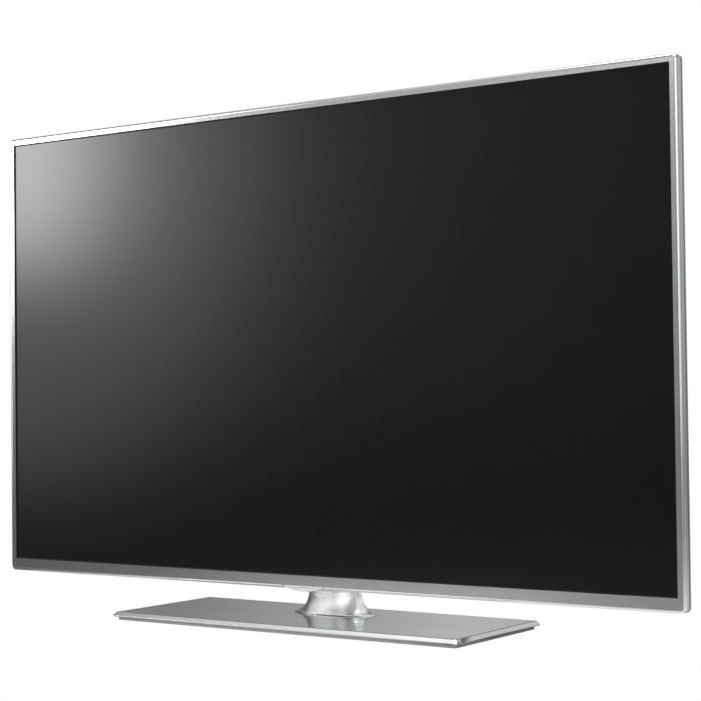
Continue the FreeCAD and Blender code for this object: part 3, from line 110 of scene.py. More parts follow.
# %% [markdown]
# ## Noise that several finishes share
#
# Moulded plastic, powder coat, rubber and paint all have a fine grain, and drawn or brushed metal has
# streaks. A node group is built once, and each material sets its own scale. The groups give out values
# only. The shader that turns them into a surface stays in the material.

# %% A group for grain and one for streaks


def value_group(name, detail, far_share):
    """A node group of two noises: a fine one, and a slow one far_share as dense, both stretched to 0..1."""
    tree = bpy.data.node_groups.new(name, "ShaderNodeTree")
    tree.interface.new_socket("Vector", in_out="INPUT", socket_type="NodeSocketVector")
    tree.interface.new_socket("Scale", in_out="INPUT", socket_type="NodeSocketFloat")
    tree.interface.new_socket("Fine", in_out="OUTPUT", socket_type="NodeSocketFloat")
    tree.interface.new_socket("Slow", in_out="OUTPUT", socket_type="NodeSocketFloat")
    nodes = tree.nodes
    links = tree.links
    inlet = nodes.new("NodeGroupInput")
    outlet = nodes.new("NodeGroupOutput")
    share = nodes.new("ShaderNodeMath")
    share.operation = "MULTIPLY"
    share.inputs[1].default_value = far_share
    links.new(inlet.outputs["Scale"], share.inputs[0])
    for output, scale in (("Fine", inlet.outputs["Scale"]), ("Slow", share.outputs[0])):
        noise = nodes.new("ShaderNodeTexNoise")
        noise.inputs["Detail"].default_value = detail
        spread = nodes.new("ShaderNodeMapRange")
        spread.inputs["From Min"].default_value = 0.3
        spread.inputs["From Max"].default_value = 0.7
        links.new(inlet.outputs["Vector"], noise.inputs["Vector"])
        links.new(scale, noise.inputs["Scale"])
        links.new(noise.outputs["Fac"], spread.inputs["Value"])
        links.new(spread.outputs["Result"], outlet.inputs[output])
    return tree


GRAIN = value_group("grain", detail=3.0, far_share=0.02)
STREAKS = value_group("streaks", detail=2.0, far_share=0.05)
print("groups:", GRAIN.name, STREAKS.name)

# %% [markdown]
# ## Finishes
#
# Every finish follows one recipe: two near colours mixed by the slow noise, a roughness that the fine
# noise sways, and a shallow bump. What makes chrome chrome and rubber rubber is in the numbers, so they
# stand side by side in one table.

# %% The recipe


def finish(name, colors, rough, metal=0.0, bump=0.0, group=GRAIN, scale=900.0, stretch=(1, 1, 1), **sockets):
    """A material: colors are its two tints, rough the range of its roughness, bump its depth in metres."""
    material = bpy.data.materials.new(name)
    material.use_nodes = True
    nodes = material.node_tree.nodes
    links = material.node_tree.links
    shader = nodes["Principled BSDF"]
    shader.inputs["Metallic"].default_value = metal
    for socket, value in sockets.items():
        shader.inputs[socket.replace("_", " ")].default_value = value
    place = nodes.new("ShaderNodeTexCoord")
    mapping = nodes.new("ShaderNodeMapping")
    mapping.inputs["Scale"].default_value = stretch
    values = nodes.new("ShaderNodeGroup")
    values.node_tree = group
    values.inputs["Scale"].default_value = scale
    links.new(place.outputs["Object"], mapping.inputs["Vector"])
    links.new(mapping.outputs["Vector"], values.inputs["Vector"])
    tint = nodes.new("ShaderNodeMix")
    tint.data_type = "RGBA"
    tint.inputs["A"].default_value = (*colors[0], 1.0)
    tint.inputs["B"].default_value = (*colors[1], 1.0)
    links.new(values.outputs["Slow"], tint.inputs["Factor"])
    links.new(tint.outputs["Result"], shader.inputs["Base Color"])
    sway = nodes.new("ShaderNodeMapRange")
    sway.inputs["To Min"].default_value = rough[0]
    sway.inputs["To Max"].default_value = rough[1]
    links.new(values.outputs["Fine"], sway.inputs["Value"])
    links.new(sway.outputs["Result"], shader.inputs["Roughness"])
    if bump:
        relief = nodes.new("ShaderNodeBump")
        relief.inputs["Distance"].default_value = bump
        relief.inputs["Strength"].default_value = 1.0
        links.new(values.outputs["Fine"], relief.inputs["Height"])
        links.new(relief.outputs["Normal"], shader.inputs["Normal"])
    return material


def grey(level):
    """A neutral, slightly cool tint."""
    return (level, level, level * 1.01)


# %% The finishes of the outside
ALONG_X = (0.02, 1.0, 1.0)
FINISHES = {
    "bezel_silver": finish("satin_silver_paint", [(0.36, 0.36, 0.36), (0.39, 0.39, 0.39)], (0.22, 0.27),
                           metal=0.9, bump=0.000004, scale=2600.0),
    "bezel_bead": finish("burnished_silver", [grey(0.66), grey(0.70)], (0.14, 0.18), metal=1.0, scale=2600.0),
    "base_silver": finish("glossy_silver", [(0.27, 0.275, 0.27), (0.30, 0.305, 0.30)], (0.24, 0.32),
                          metal=0.8, group=STREAKS, scale=700.0, stretch=ALONG_X, Coat_Weight=1.0,
                          Coat_Roughness=0.02),
    "neck_chrome": finish("bright_chrome", [grey(0.82), grey(0.86)], (0.27, 0.32), metal=1.0, scale=300.0),
    "screen_dark": finish("anti_glare_film", [grey(0.0042), grey(0.0052)], (0.205, 0.215), scale=4000.0,
                          IOR=1.24),
    "polished_edge": finish("polished_edge", [grey(0.86), grey(0.90)], (0.14, 0.20), metal=1.0, scale=500.0),
    "under_grey": finish("under_plate_paint", [grey(0.22), grey(0.25)], (0.45, 0.55), metal=0.2, bump=0.00003,
                         scale=1100.0),
    "printed_black": finish("printed_black", [grey(0.010), grey(0.014)], (0.55, 0.62), scale=900.0, IOR=1.2),
    "lens_clear": finish("milky_lens", [grey(0.90), grey(0.95)], (0.18, 0.24), scale=400.0,
                         Transmission_Weight=0.45, IOR=1.49),
    "back_plastic": finish("grained_grey_plastic", [grey(0.088), grey(0.098)], (0.42, 0.62), bump=0.00006,
                           scale=1500.0),
    "black_steel": finish("powder_coated_steel", [grey(0.030), grey(0.040)], (0.38, 0.55), bump=0.00005,
                          scale=1100.0),
    "black_screw": finish("blackened_screw", [grey(0.05), grey(0.08)], (0.30, 0.45), metal=0.8, scale=1500.0),
    "foot_rubber": finish("foot_rubber", [grey(0.018), grey(0.026)], (0.75, 0.90), bump=0.00005, scale=900.0),
}
print(len(FINISHES), "finishes for the outside")

# %% The finishes of the inside and the sockets
FINISHES.update({
    "cell_glass": finish("panel_glass", [grey(0.010), grey(0.014)], (0.04, 0.08), scale=200.0),
    "zinc_steel": finish("zinc_plated_steel", [grey(0.46), grey(0.58)], (0.26, 0.42), metal=1.0, scale=500.0),
    "bush_plastic": finish("low_friction_plastic", [(0.72, 0.71, 0.66), (0.78, 0.77, 0.72)], (0.40, 0.50)),
    "gasket_foam": finish("gasket_foam", [grey(0.008), grey(0.014)], (0.88, 0.97), bump=0.0001, scale=1400.0),
    "guide_plastic": finish("guide_plastic", [grey(0.020), grey(0.027)], (0.50, 0.62), bump=0.00002),
    "white_film": finish("diffusing_film", [grey(0.80), grey(0.86)], (0.42, 0.52), scale=2000.0),
    "acrylic": finish("acrylic_sheet", [grey(0.88), grey(0.93)], (0.04, 0.08), Transmission_Weight=0.85,
                      IOR=1.49),
    "lamp_board": finish("white_lamp_board", [(0.80, 0.80, 0.76), (0.85, 0.85, 0.81)], (0.35, 0.45)),
    "spreader_aluminium": finish("extruded_aluminium", [grey(0.60), grey(0.68)], (0.30, 0.44), metal=1.0,
                                 group=STREAKS, scale=900.0, stretch=(1.0, 1.0, 0.02)),
    "amber_film": finish("amber_flex_film", [(0.45, 0.20, 0.03), (0.55, 0.27, 0.05)], (0.22, 0.32)),
    "board_green": finish("lacquered_board", [(0.010, 0.085, 0.035), (0.016, 0.115, 0.050)], (0.26, 0.40),
                          bump=0.00003, scale=500.0),
    "wound_copper": finish("wound_bobbin", [(0.42, 0.30, 0.05), (0.52, 0.40, 0.09)], (0.35, 0.50),
                           bump=0.0001, group=STREAKS, scale=900.0, stretch=(0.05, 1.0, 1.0)),
    "can_black": finish("sleeved_can", [(0.020, 0.020, 0.040), (0.028, 0.028, 0.052)], (0.22, 0.32)),
    "socket_black": finish("socket_plastic", [grey(0.014), grey(0.020)], (0.32, 0.46), bump=0.00002),
    "socket_metal": finish("nickel_plated_shell", [grey(0.55), grey(0.66)], (0.20, 0.34), metal=1.0,
                           scale=600.0),
    "wire_black": finish("wire_sleeve", [grey(0.018), grey(0.026)], (0.45, 0.58)),
    "magnet_steel": finish("magnet_steel", [grey(0.25), grey(0.33)], (0.32, 0.46), metal=1.0, scale=500.0),
    "cone_black": finish("paper_cone", [grey(0.022), grey(0.034)], (0.72, 0.88), bump=0.0001, scale=700.0),
    "stick_black": finish("stick_plastic", [grey(0.020), grey(0.027)], (0.36, 0.48), bump=0.00002),
})
for node in frame["nodes"].values():
    for place in node.material_slots:
        place.material = FINISHES[place.material.name]
frame["nodes"]["base_underplate"].material_slots[0].material = FINISHES["under_grey"]
print(len(FINISHES), "finishes in all")

# %% [markdown]
# ## Outlines and lofts
#
# The bezel, the rim behind it and the base are all one idea: a profile carried round a rectangle with
# rounded corners. Here each point of the profile is a ring of its own, drawn in from the outline by the
# right amount, and neighbouring rings are joined by quads.

# %% Rings and lofts
CORNER_STEPS = 8
SIDE_STEPS = 6


def outline(x0, x1, v0, v1, radius):
    """Points (x, v) anticlockwise round a rectangle with rounded corners, the same number for any size."""
    corners = [(x1 - radius, v0 + radius, -90), (x1 - radius, v1 - radius, 0)]
    corners += [(x0 + radius, v1 - radius, 90), (x0 + radius, v0 + radius, 180)]
    arcs = []
    for cx, cv, start in corners:
        angles = [math.radians(start + 90 * i / CORNER_STEPS) for i in range(CORNER_STEPS + 1)]
        arcs.append([(cx + radius * math.cos(a), cv + radius * math.sin(a)) for a in angles])
    points = []
    for arc, following in zip(arcs, arcs[1:] + arcs[:1]):
        points += arc
        (ax, av), (bx, bv) = arc[-1], following[0]
        shares = [i / SIDE_STEPS for i in range(1, SIDE_STEPS)]
        points += [(ax + (bx - ax) * s, av + (bv - av) * s) for s in shares]
    return points


def loft(mesh, rings, closed):
    """Joins rings of equally many points by quads; a closed profile ends where it starts."""
    rows = [[mesh.verts.new(point) for point in ring] for ring in rings]
    pairs = list(zip(rows, rows[1:]))
    if closed:
        pairs.append((rows[-1], rows[0]))
    for row, following in pairs:
        for i in range(len(row)):
            j = (i + 1) % len(row)
            mesh.faces.new((row[i], row[j], following[j], following[i]))
    return rows


def piece(name, mesh, slot, body, look=None):
    """Turns a bmesh into a finished piece: merged, normals outwards, smooth but for its sharp edges."""
    bmesh.ops.remove_doubles(mesh, verts=mesh.verts, dist=WELD)
    bmesh.ops.recalc_face_normals(mesh, faces=mesh.faces)
    for edge in mesh.edges:
        edge.smooth = len(edge.link_faces) == 2 and edge.calc_face_angle(0) < SMOOTH_ANGLE
    for face in mesh.faces:
        face.smooth = True
    data = bpy.data.meshes.new(name)
    mesh.to_mesh(data)
    mesh.free()
    made = bpy.data.objects.new(name, data)
    bpy.context.scene.collection.objects.link(made)
    data.materials.append(FINISHES[look or slot])
    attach(made, body)
    face_edges = {key for face in data.polygons for key in face.edge_keys}
    print(name, len(data.polygons), "faces,", len(data.edges) - len(face_edges), "loose edges")
    return made


# %% [markdown]
# ## The silver bezel
#
# The bezel is one moulded frame round the picture. From outside in, its front has a rounded edge, a fine
# groove, and then a flat satin face that runs to the glass. The face is wider at the bottom than at the
# sides. Its profile is a list of steps: first measured in from the outside, then out from the opening,
# because those two edges aren't parallel.
#
# The rounded edge is burnished and shines as a bright bead. Paint of two kinds on one mesh would need a
# mask, so the bead is a skin of its own, a quarter of a millimetre thick, let into the frame. Next to each
# tiny facet a ring is held close to it. Without that ring the flat face would borrow the facet's shading
# and bend the light.

# %% The bezel's profile
LOW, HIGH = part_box("front_bezel")
BEZEL_SIDE = 9.0 * MM
BEZEL_TOP = 8.5 * MM
BEZEL_BOTTOM = 15.5 * MM
BEZEL_WALL = 1.6 * MM
BEZEL_LIP = 1.0 * MM
CORNER_R = 6.0 * MM
EDGE_R = 3.2 * MM
FACE_SINK = 0.12 * MM
GROOVE_SINK = 0.45 * MM
TINY_R = 0.3 * MM
HOLD = 0.15 * MM
FACET = 0.08 * MM
EDGE_STEPS = 8
GROOVE_STEPS = [(0.10 * MM, GROOVE_SINK), (0.35 * MM, GROOVE_SINK), (0.45 * MM, FACE_SINK),
                (0.60 * MM, FACE_SINK)]
OPENING = (LOW.x + BEZEL_SIDE, HIGH.x - BEZEL_SIDE, LOW.z + BEZEL_BOTTOM, HIGH.z - BEZEL_TOP)


def from_outside(inset, depth):
    """A ring drawn in from the set's outline, at a depth behind the bezel's front."""
    radius = max(CORNER_R - inset, TINY_R)
    points = outline(LOW.x + inset, HIGH.x - inset, LOW.z + inset, HIGH.z - inset, radius)
    return [(x, LOW.y + depth, z) for x, z in points]


def from_opening(out, depth):
    """A ring drawn out from the picture opening."""
    x0, x1, z0, z1 = OPENING
    points = outline(x0 - out, x1 + out, z0 - out, z1 + out, TINY_R + max(out, 0))
    return [(x, LOW.y + depth, z) for x, z in points]


def quarter(radius, steps):
    """Inset and depth of points on a rounded edge, from the side to the front."""
    angles = [math.radians(90 * i / steps) for i in range(steps + 1)]
    return [(radius * (1 - math.cos(a)), radius * (1 - math.sin(a))) for a in angles]


# %% Build the bead and the bezel
DEPTH = HIGH.y - LOW.y
BEAD_SKIN = 0.25 * MM
BEAD_END = EDGE_R + 0.3 * MM


def edge_round(skin):
    """Rings over the rounded front edge, from the side to the front, a skin's thickness below its surface."""
    return [from_outside(skin + inset, skin + depth) for inset, depth in quarter(EDGE_R - skin, EDGE_STEPS)]


mesh = bmesh.new()
loft(mesh, edge_round(0) + [from_outside(BEAD_END, 0), from_outside(BEAD_END, BEAD_SKIN)]
     + edge_round(BEAD_SKIN)[::-1], closed=True)
bead = piece("bezel_bead", mesh, "bezel_silver", "set", look="bezel_bead")

rings = [from_outside(TINY_R, DEPTH), from_outside(0, DEPTH - TINY_R), from_outside(0, EDGE_R)]
rings += edge_round(BEAD_SKIN)
rings.append(from_outside(BEAD_END, BEAD_SKIN))
rings += [from_outside(BEAD_END + out, depth) for out, depth in GROOVE_STEPS]
rings.append(from_opening(FACET + HOLD, FACE_SINK))
rings.append(from_opening(FACET, FACE_SINK))
rings.append(from_opening(0, FACE_SINK + FACET))
rings.append(from_opening(0, BEZEL_LIP))
rings.append(from_outside(BEZEL_WALL, BEZEL_LIP))
rings.append(from_outside(BEZEL_WALL, DEPTH))
mesh = bmesh.new()
loft(mesh, rings, closed=True)
bezel = piece("bezel_frame", mesh, "bezel_silver", "set")
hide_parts("front_bezel")

# %% [markdown]
# ## The lens crescent
#
# Under the middle of the bezel hangs a milky crescent that gathers the light of the standby lamp and lets
# the remote control's signal in. Two arcs that meet in points bound it. It is built as those two arcs,
# front and back, and a small bevel breaks its edges, so it shines like moulded acrylic. The same outline,
# a hair larger, is cut out of the bezel, which the Boolean modifier does best.

# %% Build the lens and cut its seat
LENS_LOW, LENS_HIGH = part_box("indicator_lens")
LENS_CROWN = LOW.z + 0.9 * MM
LENS_STEPS = 24
LENS_FIT = 0.1 * MM
LENS_BEVEL = 0.35 * MM
CUTTER_REACH = 2 * MM


def arc_points(half_w, tip_z, middle_z, steps):
    """Points of the arc through two tips and a lower middle, left to right."""
    drop = tip_z - middle_z
    radius = (half_w ** 2 + drop ** 2) / (2 * drop)
    sweep = math.asin(half_w / radius)
    angles = [-sweep + 2 * sweep * i / steps for i in range(steps + 1)]
    return [(radius * math.sin(a), middle_z + radius * (1 - math.cos(a))) for a in angles]


def crescent(front, back, grow):
    """A closed mesh of the crescent between two depths, grown a little for its seat."""
    half = LENS_HIGH.x + grow
    tip = LENS_HIGH.z + grow * 0.2
    lower = arc_points(half, tip, LENS_LOW.z - grow, LENS_STEPS)
    upper = arc_points(half, tip, LENS_CROWN + grow, LENS_STEPS)
    ring = lower + upper[-2:0:-1]
    shape = bmesh.new()
    faces = []
    for y in (front, back):
        faces.append(shape.faces.new([shape.verts.new((x, y, z)) for x, z in ring]))
    ahead, behind = [list(face.verts) for face in faces]
    for i in range(len(ring)):
        j = (i + 1) % len(ring)
        shape.faces.new((ahead[i], ahead[j], behind[j], behind[i]))
    bmesh.ops.recalc_face_normals(shape, faces=shape.faces)
    return shape


shape = crescent(LENS_LOW.y, LENS_HIGH.y, 0)
rim = [e for e in shape.edges if abs(e.verts[0].co.y - e.verts[1].co.y) < 1e-7]
bmesh.ops.bevel(shape, geom=rim, offset=LENS_BEVEL, segments=3, profile=0.5, affect="EDGES")
lens = piece("lens_crescent", shape, "lens_clear", "set")
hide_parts("indicator_lens")

cutter_mesh = bpy.data.meshes.new("lens_cutter")
shape = crescent(LOW.y - CUTTER_REACH, HIGH.y + CUTTER_REACH, LENS_FIT)
shape.to_mesh(cutter_mesh)
shape.free()
cutter = bpy.data.objects.new("lens_cutter", cutter_mesh)
bpy.context.scene.collection.objects.link(cutter)
for target in (bezel, bead):
    cut = target.modifiers.new("lens seat", "BOOLEAN")
    cut.object = cutter
    cut.operation = "DIFFERENCE"
    cut.solver = "EXACT"
    settle(target)
bpy.data.objects.remove(cutter)
print("bezel with its seat:", len(bezel.data.polygons), "faces")

# %% [markdown]
# ## The rim and the black border
#
# Behind a thin dark gap a second silver band closes the edge of the set. It gets soft edges too. On the
# glass, just inside the bezel, a narrow printed border frames the picture. It is matt, so it stays black
# where the rest of the film shines.

# %% Build the rim and the border
RIM_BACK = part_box("side_frame")[1].y
RIM_FRONT = LOW.y + 11.2 * MM
RIM_R = 0.7 * MM
RIM_WALL = 4.6 * MM
RIM_STEPS = 4
BORDER_W = 1.5 * MM
BORDER_T = 0.05 * MM


def at_depth(inset, y):
    """A ring drawn in from the set's outline, standing at a given Y."""
    return from_outside(inset, y - LOW.y)


rings = [at_depth(RIM_WALL, RIM_FRONT), at_depth(RIM_R, RIM_FRONT)]
rings += [at_depth(inset, RIM_FRONT + depth) for inset, depth in reversed(quarter(RIM_R, RIM_STEPS))]
rings += [at_depth(inset, RIM_BACK - depth) for inset, depth in quarter(RIM_R, RIM_STEPS)]
rings.append(at_depth(RIM_WALL, RIM_BACK))
mesh = bmesh.new()
loft(mesh, rings, closed=True)
rim = piece("edge_band", mesh, "bezel_silver", "set")
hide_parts("side_frame")

FILM_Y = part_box("front_polariser")[0].y
rings = []
for out, y in ((0, FILM_Y - BORDER_T), (-BORDER_W, FILM_Y - BORDER_T), (-BORDER_W, FILM_Y), (0, FILM_Y)):
    rings.append(from_opening(out, y - LOW.y))
mesh = bmesh.new()
loft(mesh, rings, closed=True)
border = piece("printed_border", mesh, "gasket_foam", "set", look="printed_black")

# %% [markdown]
# ## The chromed neck
#
# The neck is one chromed shell, a soft oval that widens downwards and ends in a thin flange, like a bell.
# Geometry Nodes roll up a flat grid, and at each height two smooth curves, set from short tables, say how
# wide and how deep the oval is. Solidify then gives the skin its wall.

# %% Helpers for node trees


def new_tree(name, inputs):
    """A geometry node tree that takes named sizes; returns it with its input and output nodes."""
    tree = bpy.data.node_groups.new(name, "GeometryNodeTree")
    tree.interface.new_socket("Geometry", in_out="INPUT", socket_type="NodeSocketGeometry")
    for label, kind, value in inputs:
        socket = tree.interface.new_socket(label, in_out="INPUT", socket_type="NodeSocket" + kind)
        if value is not None:
            socket.default_value = value
    tree.interface.new_socket("Geometry", in_out="OUTPUT", socket_type="NodeSocketGeometry")
    return tree, tree.nodes.new("NodeGroupInput"), tree.nodes.new("NodeGroupOutput")


def feed(tree, socket, value):
    """Links a socket, or sets a plain number or tuple on it."""
    if isinstance(value, bpy.types.NodeSocket):
        tree.links.new(value, socket)
    elif value is not None:
        socket.default_value = value


def maths(tree, operation, first, second=None, third=None):
    """One Math node; every operand is a socket or a number."""
    node = tree.nodes.new("ShaderNodeMath")
    node.operation = operation
    for socket, value in zip(node.inputs, (first, second, third)):
        feed(tree, socket, value)
    return node.outputs[0]


def node_of(tree, kind, mode=None, **values):
    """Any node, with its sockets fed by name; an underscore stands for a blank."""
    node = tree.nodes.new(kind)
    if mode:
        node.mode = mode
    for label, value in values.items():
        feed(tree, node.inputs[label.replace("_", " ")], value)
    return node


def place_of(tree):
    """Where each point is, as three numbers."""
    position = tree.nodes.new("GeometryNodeInputPosition")
    return node_of(tree, "ShaderNodeSeparateXYZ", Vector=position.outputs[0])


def close_tree(tree, outlet, geometry, material):
    """Ends a tree the way every tree here ends: real geometry, with its material."""
    real = node_of(tree, "GeometryNodeRealizeInstances", Geometry=geometry)
    dressed = node_of(tree, "GeometryNodeSetMaterial", Geometry=real.outputs[0], Material=material)
    tree.links.new(dressed.outputs[0], outlet.inputs[0])


def run_tree(tree, values, points=()):
    """Runs a tree on a mesh of loose points and returns the plain mesh as a bmesh."""
    mesh = bpy.data.meshes.new(tree.name)
    mesh.from_pydata([tuple(point) for point in points], [], [])
    holder = bpy.data.objects.new(tree.name, mesh)
    bpy.context.scene.collection.objects.link(holder)
    modifier = holder.modifiers.new(tree.name, "NODES")
    modifier.node_group = tree
    for item in tree.interface.items_tree:
        if item.in_out == "INPUT" and item.name in values:
            modifier[item.identifier] = values[item.name]
    settle(holder)
    made = bmesh.new()
    made.from_mesh(holder.data)
    bpy.data.meshes.remove(holder.data)
    return made


# %% The neck's tree
NECK_LOW, NECK_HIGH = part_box("neck_shell")
NECK_MIDDLE_Y = (NECK_LOW.y + NECK_HIGH.y) / 2
NECK_H = NECK_HIGH.z - NECK_LOW.z
NECK_WALL = 1.4 * MM
NECK_POINTS = 128
NECK_RINGS = 56
NECK_SQUARENESS = 2.3
NECK_WIDTHS = [(0.0, 56.8), (0.02, 55.5), (0.05, 50.5), (0.10, 45.5), (0.20, 40.6), (0.35, 37.0),
               (0.50, 35.4), (1.0, 35.0)]
NECK_DEPTHS = [(0.0, 24.2), (0.02, 25.0), (0.08, 24.0), (0.20, 21.8), (0.40, 19.8), (0.60, 19.0),
               (0.75, 16.4), (1.0, 15.4)]


def size_curve(tree, height, table):
    """A smooth curve from height, 0 to 1, to a size in metres; table holds sizes in millimetres."""
    node = tree.nodes.new("ShaderNodeFloatCurve")
    biggest = max(size for _, size in table)
    curve = node.mapping.curves[0]
    while len(curve.points) < len(table):
        curve.points.new(0.5, 0.5)
    for point, (share, size) in zip(curve.points, table):
        point.location = (share, size / biggest)
        point.handle_type = "AUTO_CLAMPED"
    node.mapping.update()
    feed(tree, node.inputs["Value"], height)
    return maths(tree, "MULTIPLY", node.outputs[0], biggest * MM)


def rounded_cosine(tree, wave, squareness):
    """The sine or cosine of the oval's angle, raised so that the oval gets squarer than an ellipse."""
    size = maths(tree, "POWER", maths(tree, "ABSOLUTE", wave), maths(tree, "DIVIDE", 2.0, squareness))
    return maths(tree, "MULTIPLY", size, maths(tree, "SIGN", wave))


tree, inlet, outlet = new_tree("neck_by_rule", [("Height", "Float", NECK_H),
                                                ("Squareness", "Float", NECK_SQUARENESS)])
grid = node_of(tree, "GeometryNodeMeshGrid", Size_X=1.0, Size_Y=1.0, Vertices_X=NECK_POINTS + 1,
               Vertices_Y=NECK_RINGS + 1)
place = place_of(tree)
angle = maths(tree, "MULTIPLY", place.outputs["X"], 2 * math.pi)
share = maths(tree, "POWER", maths(tree, "ADD", place.outputs["Y"], 0.5), 2.0)
wide = size_curve(tree, share, NECK_WIDTHS)
deep = size_curve(tree, share, NECK_DEPTHS)
squareness = inlet.outputs["Squareness"]
across = rounded_cosine(tree, maths(tree, "COSINE", angle), squareness)
along = rounded_cosine(tree, maths(tree, "SINE", angle), squareness)
spot = node_of(tree, "ShaderNodeCombineXYZ", X=maths(tree, "MULTIPLY", wide, across),
               Y=maths(tree, "MULTIPLY", deep, along),
               Z=maths(tree, "MULTIPLY", share, inlet.outputs["Height"]))
rolled = node_of(tree, "GeometryNodeSetPosition", Geometry=grid.outputs["Mesh"], Position=spot.outputs[0])
sewn = node_of(tree, "GeometryNodeMergeByDistance", Geometry=rolled.outputs[0], Distance=WELD)
close_tree(tree, outlet, sewn.outputs[0], FINISHES["neck_chrome"])
skin = run_tree(tree, {"Height": NECK_H, "Squareness": NECK_SQUARENESS})
print("neck skin:", len(skin.faces), "faces")

# %% Give the neck its wall
bmesh.ops.translate(skin, verts=skin.verts, vec=(0, NECK_MIDDLE_Y, NECK_LOW.z))
bmesh.ops.remove_doubles(skin, verts=skin.verts, dist=WELD)
bmesh.ops.recalc_face_normals(skin, faces=skin.faces)
outwards = sum(face.normal.x * face.calc_center_median().x for face in skin.faces) > 0
bmesh.ops.solidify(skin, geom=skin.faces[:], thickness=NECK_WALL if outwards else -NECK_WALL)
neck = piece("neck_chrome_shell", skin, "neck_chrome", "set")
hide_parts("neck_shell")

# %% [markdown]
# ## Things that repeat: screws, feet and slot rims
#
# Thirteen screws hold the back cover, five rubber feet stand under the base, and every slot of the cover
# has a raised rim. Each is one node tree: the shape is made once and put on a point for each copy. Screws
# and feet are turned shapes, so their trees roll a grid up round an axis, ring by ring. A fixed seed turns
# every screw differently, as a fitter leaves them.

# %% A turned shape out of nodes
TURNED_WELD = 0.0001 * MM


def ring_values(tree, share, values):
    """Gives each ring of a rolled-up grid its own number; values run from the first ring to the last."""
    node = tree.nodes.new("ShaderNodeFloatCurve")
    curve = node.mapping.curves[0]
    while len(curve.points) < len(values):
        curve.points.new(0.5, 0.5)
    for i, (point, value) in enumerate(zip(curve.points, values)):
        point.location = (i / (len(values) - 1), value)
        point.handle_type = "VECTOR"
    node.mapping.update()
    feed(tree, node.inputs["Value"], share)
    return node.outputs[0]


def ring_sum(tree, share, *terms):
    """Adds up tables of ring numbers, each times its size."""
    total = 0.0
    for values, size in terms:
        total = maths(tree, "ADD", maths(tree, "MULTIPLY", ring_values(tree, share, values), size), total)
    return total


def turned(tree, segments, rings, radius_terms, height_terms):
    """A closed turned shape about Z; tables give each ring its radius and height."""
    grid = node_of(tree, "GeometryNodeMeshGrid", Size_X=1.0, Size_Y=1.0, Vertices_X=segments + 1,
                   Vertices_Y=rings)
    place = place_of(tree)
    angle = maths(tree, "MULTIPLY", place.outputs["X"], 2 * math.pi)
    share = maths(tree, "ADD", place.outputs["Y"], 0.5)
    radius = ring_sum(tree, share, *radius_terms)
    spot = node_of(tree, "ShaderNodeCombineXYZ",
                   X=maths(tree, "MULTIPLY", radius, maths(tree, "COSINE", angle)),
                   Y=maths(tree, "MULTIPLY", radius, maths(tree, "SINE", angle)),
                   Z=ring_sum(tree, share, *height_terms))
    rolled = node_of(tree, "GeometryNodeSetPosition", Geometry=grid.outputs["Mesh"], Position=spot.outputs[0])
    merged = node_of(tree, "GeometryNodeMergeByDistance", Geometry=rolled.outputs[0], Distance=TURNED_WELD)
    return merged.outputs[0]


def copies(tree, inlet, shape, turn):
    """Puts a shape on every point of the tree's input, turned by Euler angles."""
    rotation = node_of(tree, "FunctionNodeEulerToRotation", Euler=turn)
    return node_of(tree, "GeometryNodeInstanceOnPoints", Points=inlet.outputs["Geometry"], Instance=shape,
                   Rotation=rotation.outputs[0]).outputs[0]


# %% The cover's screws
SCREW_HEAD_R = 3.2 * MM
SCREW_HEAD_H = 1.6 * MM
SCREW_SHANK_R = 1.25 * MM
SCREW_SHANK_L = 5.0 * MM
SCREW_INSET = 6.5 * MM
SCREW_SEGMENTS = 24
SCREW_SEED = 7
CROSS_LONG = 1.2
CROSS_SHORT = 0.26
TOP_ROW = (-0.86, -0.43, 0.0, 0.43, 0.86)
BOTTOM_ROW = (-0.93, 0.93)
SIDE_ROWS = (0.2, 0.5, 0.8)
HEAD_R_RINGS = (0, 0, 0, 0, 1, 1, 0.94, 0.75, 0.38, 0)
SHANK_R_RINGS = (0, 0.8, 1, 1, 0, 0, 0, 0, 0, 0)
HEAD_H_RINGS = (0, 0, 0, 0, 0, 0.45, 0.70, 0.90, 1, 1)
SHANK_L_RINGS = (1, 1, 0.92, 0, 0, 0, 0, 0, 0, 0)

tree, inlet, outlet = new_tree("pan_head_screws", [
    ("Head radius", "Float", SCREW_HEAD_R), ("Head height", "Float", SCREW_HEAD_H),
    ("Shank radius", "Float", SCREW_SHANK_R), ("Shank length", "Float", SCREW_SHANK_L),
    ("Seed", "Int", SCREW_SEED)])
sizes = inlet.outputs
down = maths(tree, "MULTIPLY", sizes["Shank length"], -1.0)
body = turned(tree, SCREW_SEGMENTS, len(HEAD_R_RINGS),
              [(HEAD_R_RINGS, sizes["Head radius"]), (SHANK_R_RINGS, sizes["Shank radius"])],
              [(HEAD_H_RINGS, sizes["Head height"]), (SHANK_L_RINGS, down)])
long_side = maths(tree, "MULTIPLY", sizes["Head radius"], CROSS_LONG)
short_side = maths(tree, "MULTIPLY", sizes["Head radius"], CROSS_SHORT)
cross = tree.nodes.new("GeometryNodeMeshBoolean")
cross.operation = "DIFFERENCE"
cross.solver = "EXACT"
tree.links.new(body, cross.inputs["Mesh 1"])
for wide, deep in ((long_side, short_side), (short_side, long_side)):
    bar_size = node_of(tree, "ShaderNodeCombineXYZ", X=wide, Y=deep, Z=sizes["Head height"])
    bar = node_of(tree, "GeometryNodeMeshCube", Size=bar_size.outputs[0])
    lift = node_of(tree, "ShaderNodeCombineXYZ", Z=sizes["Head height"])
    lifted = node_of(tree, "GeometryNodeTransform", Geometry=bar.outputs[0], Translation=lift.outputs[0])
    tree.links.new(lifted.outputs[0], cross.inputs["Mesh 2"])
spin = tree.nodes.new("FunctionNodeRandomValue")
spin.data_type = "FLOAT"
feed(tree, spin.inputs[2], 0.0)
feed(tree, spin.inputs[3], math.pi / 2)
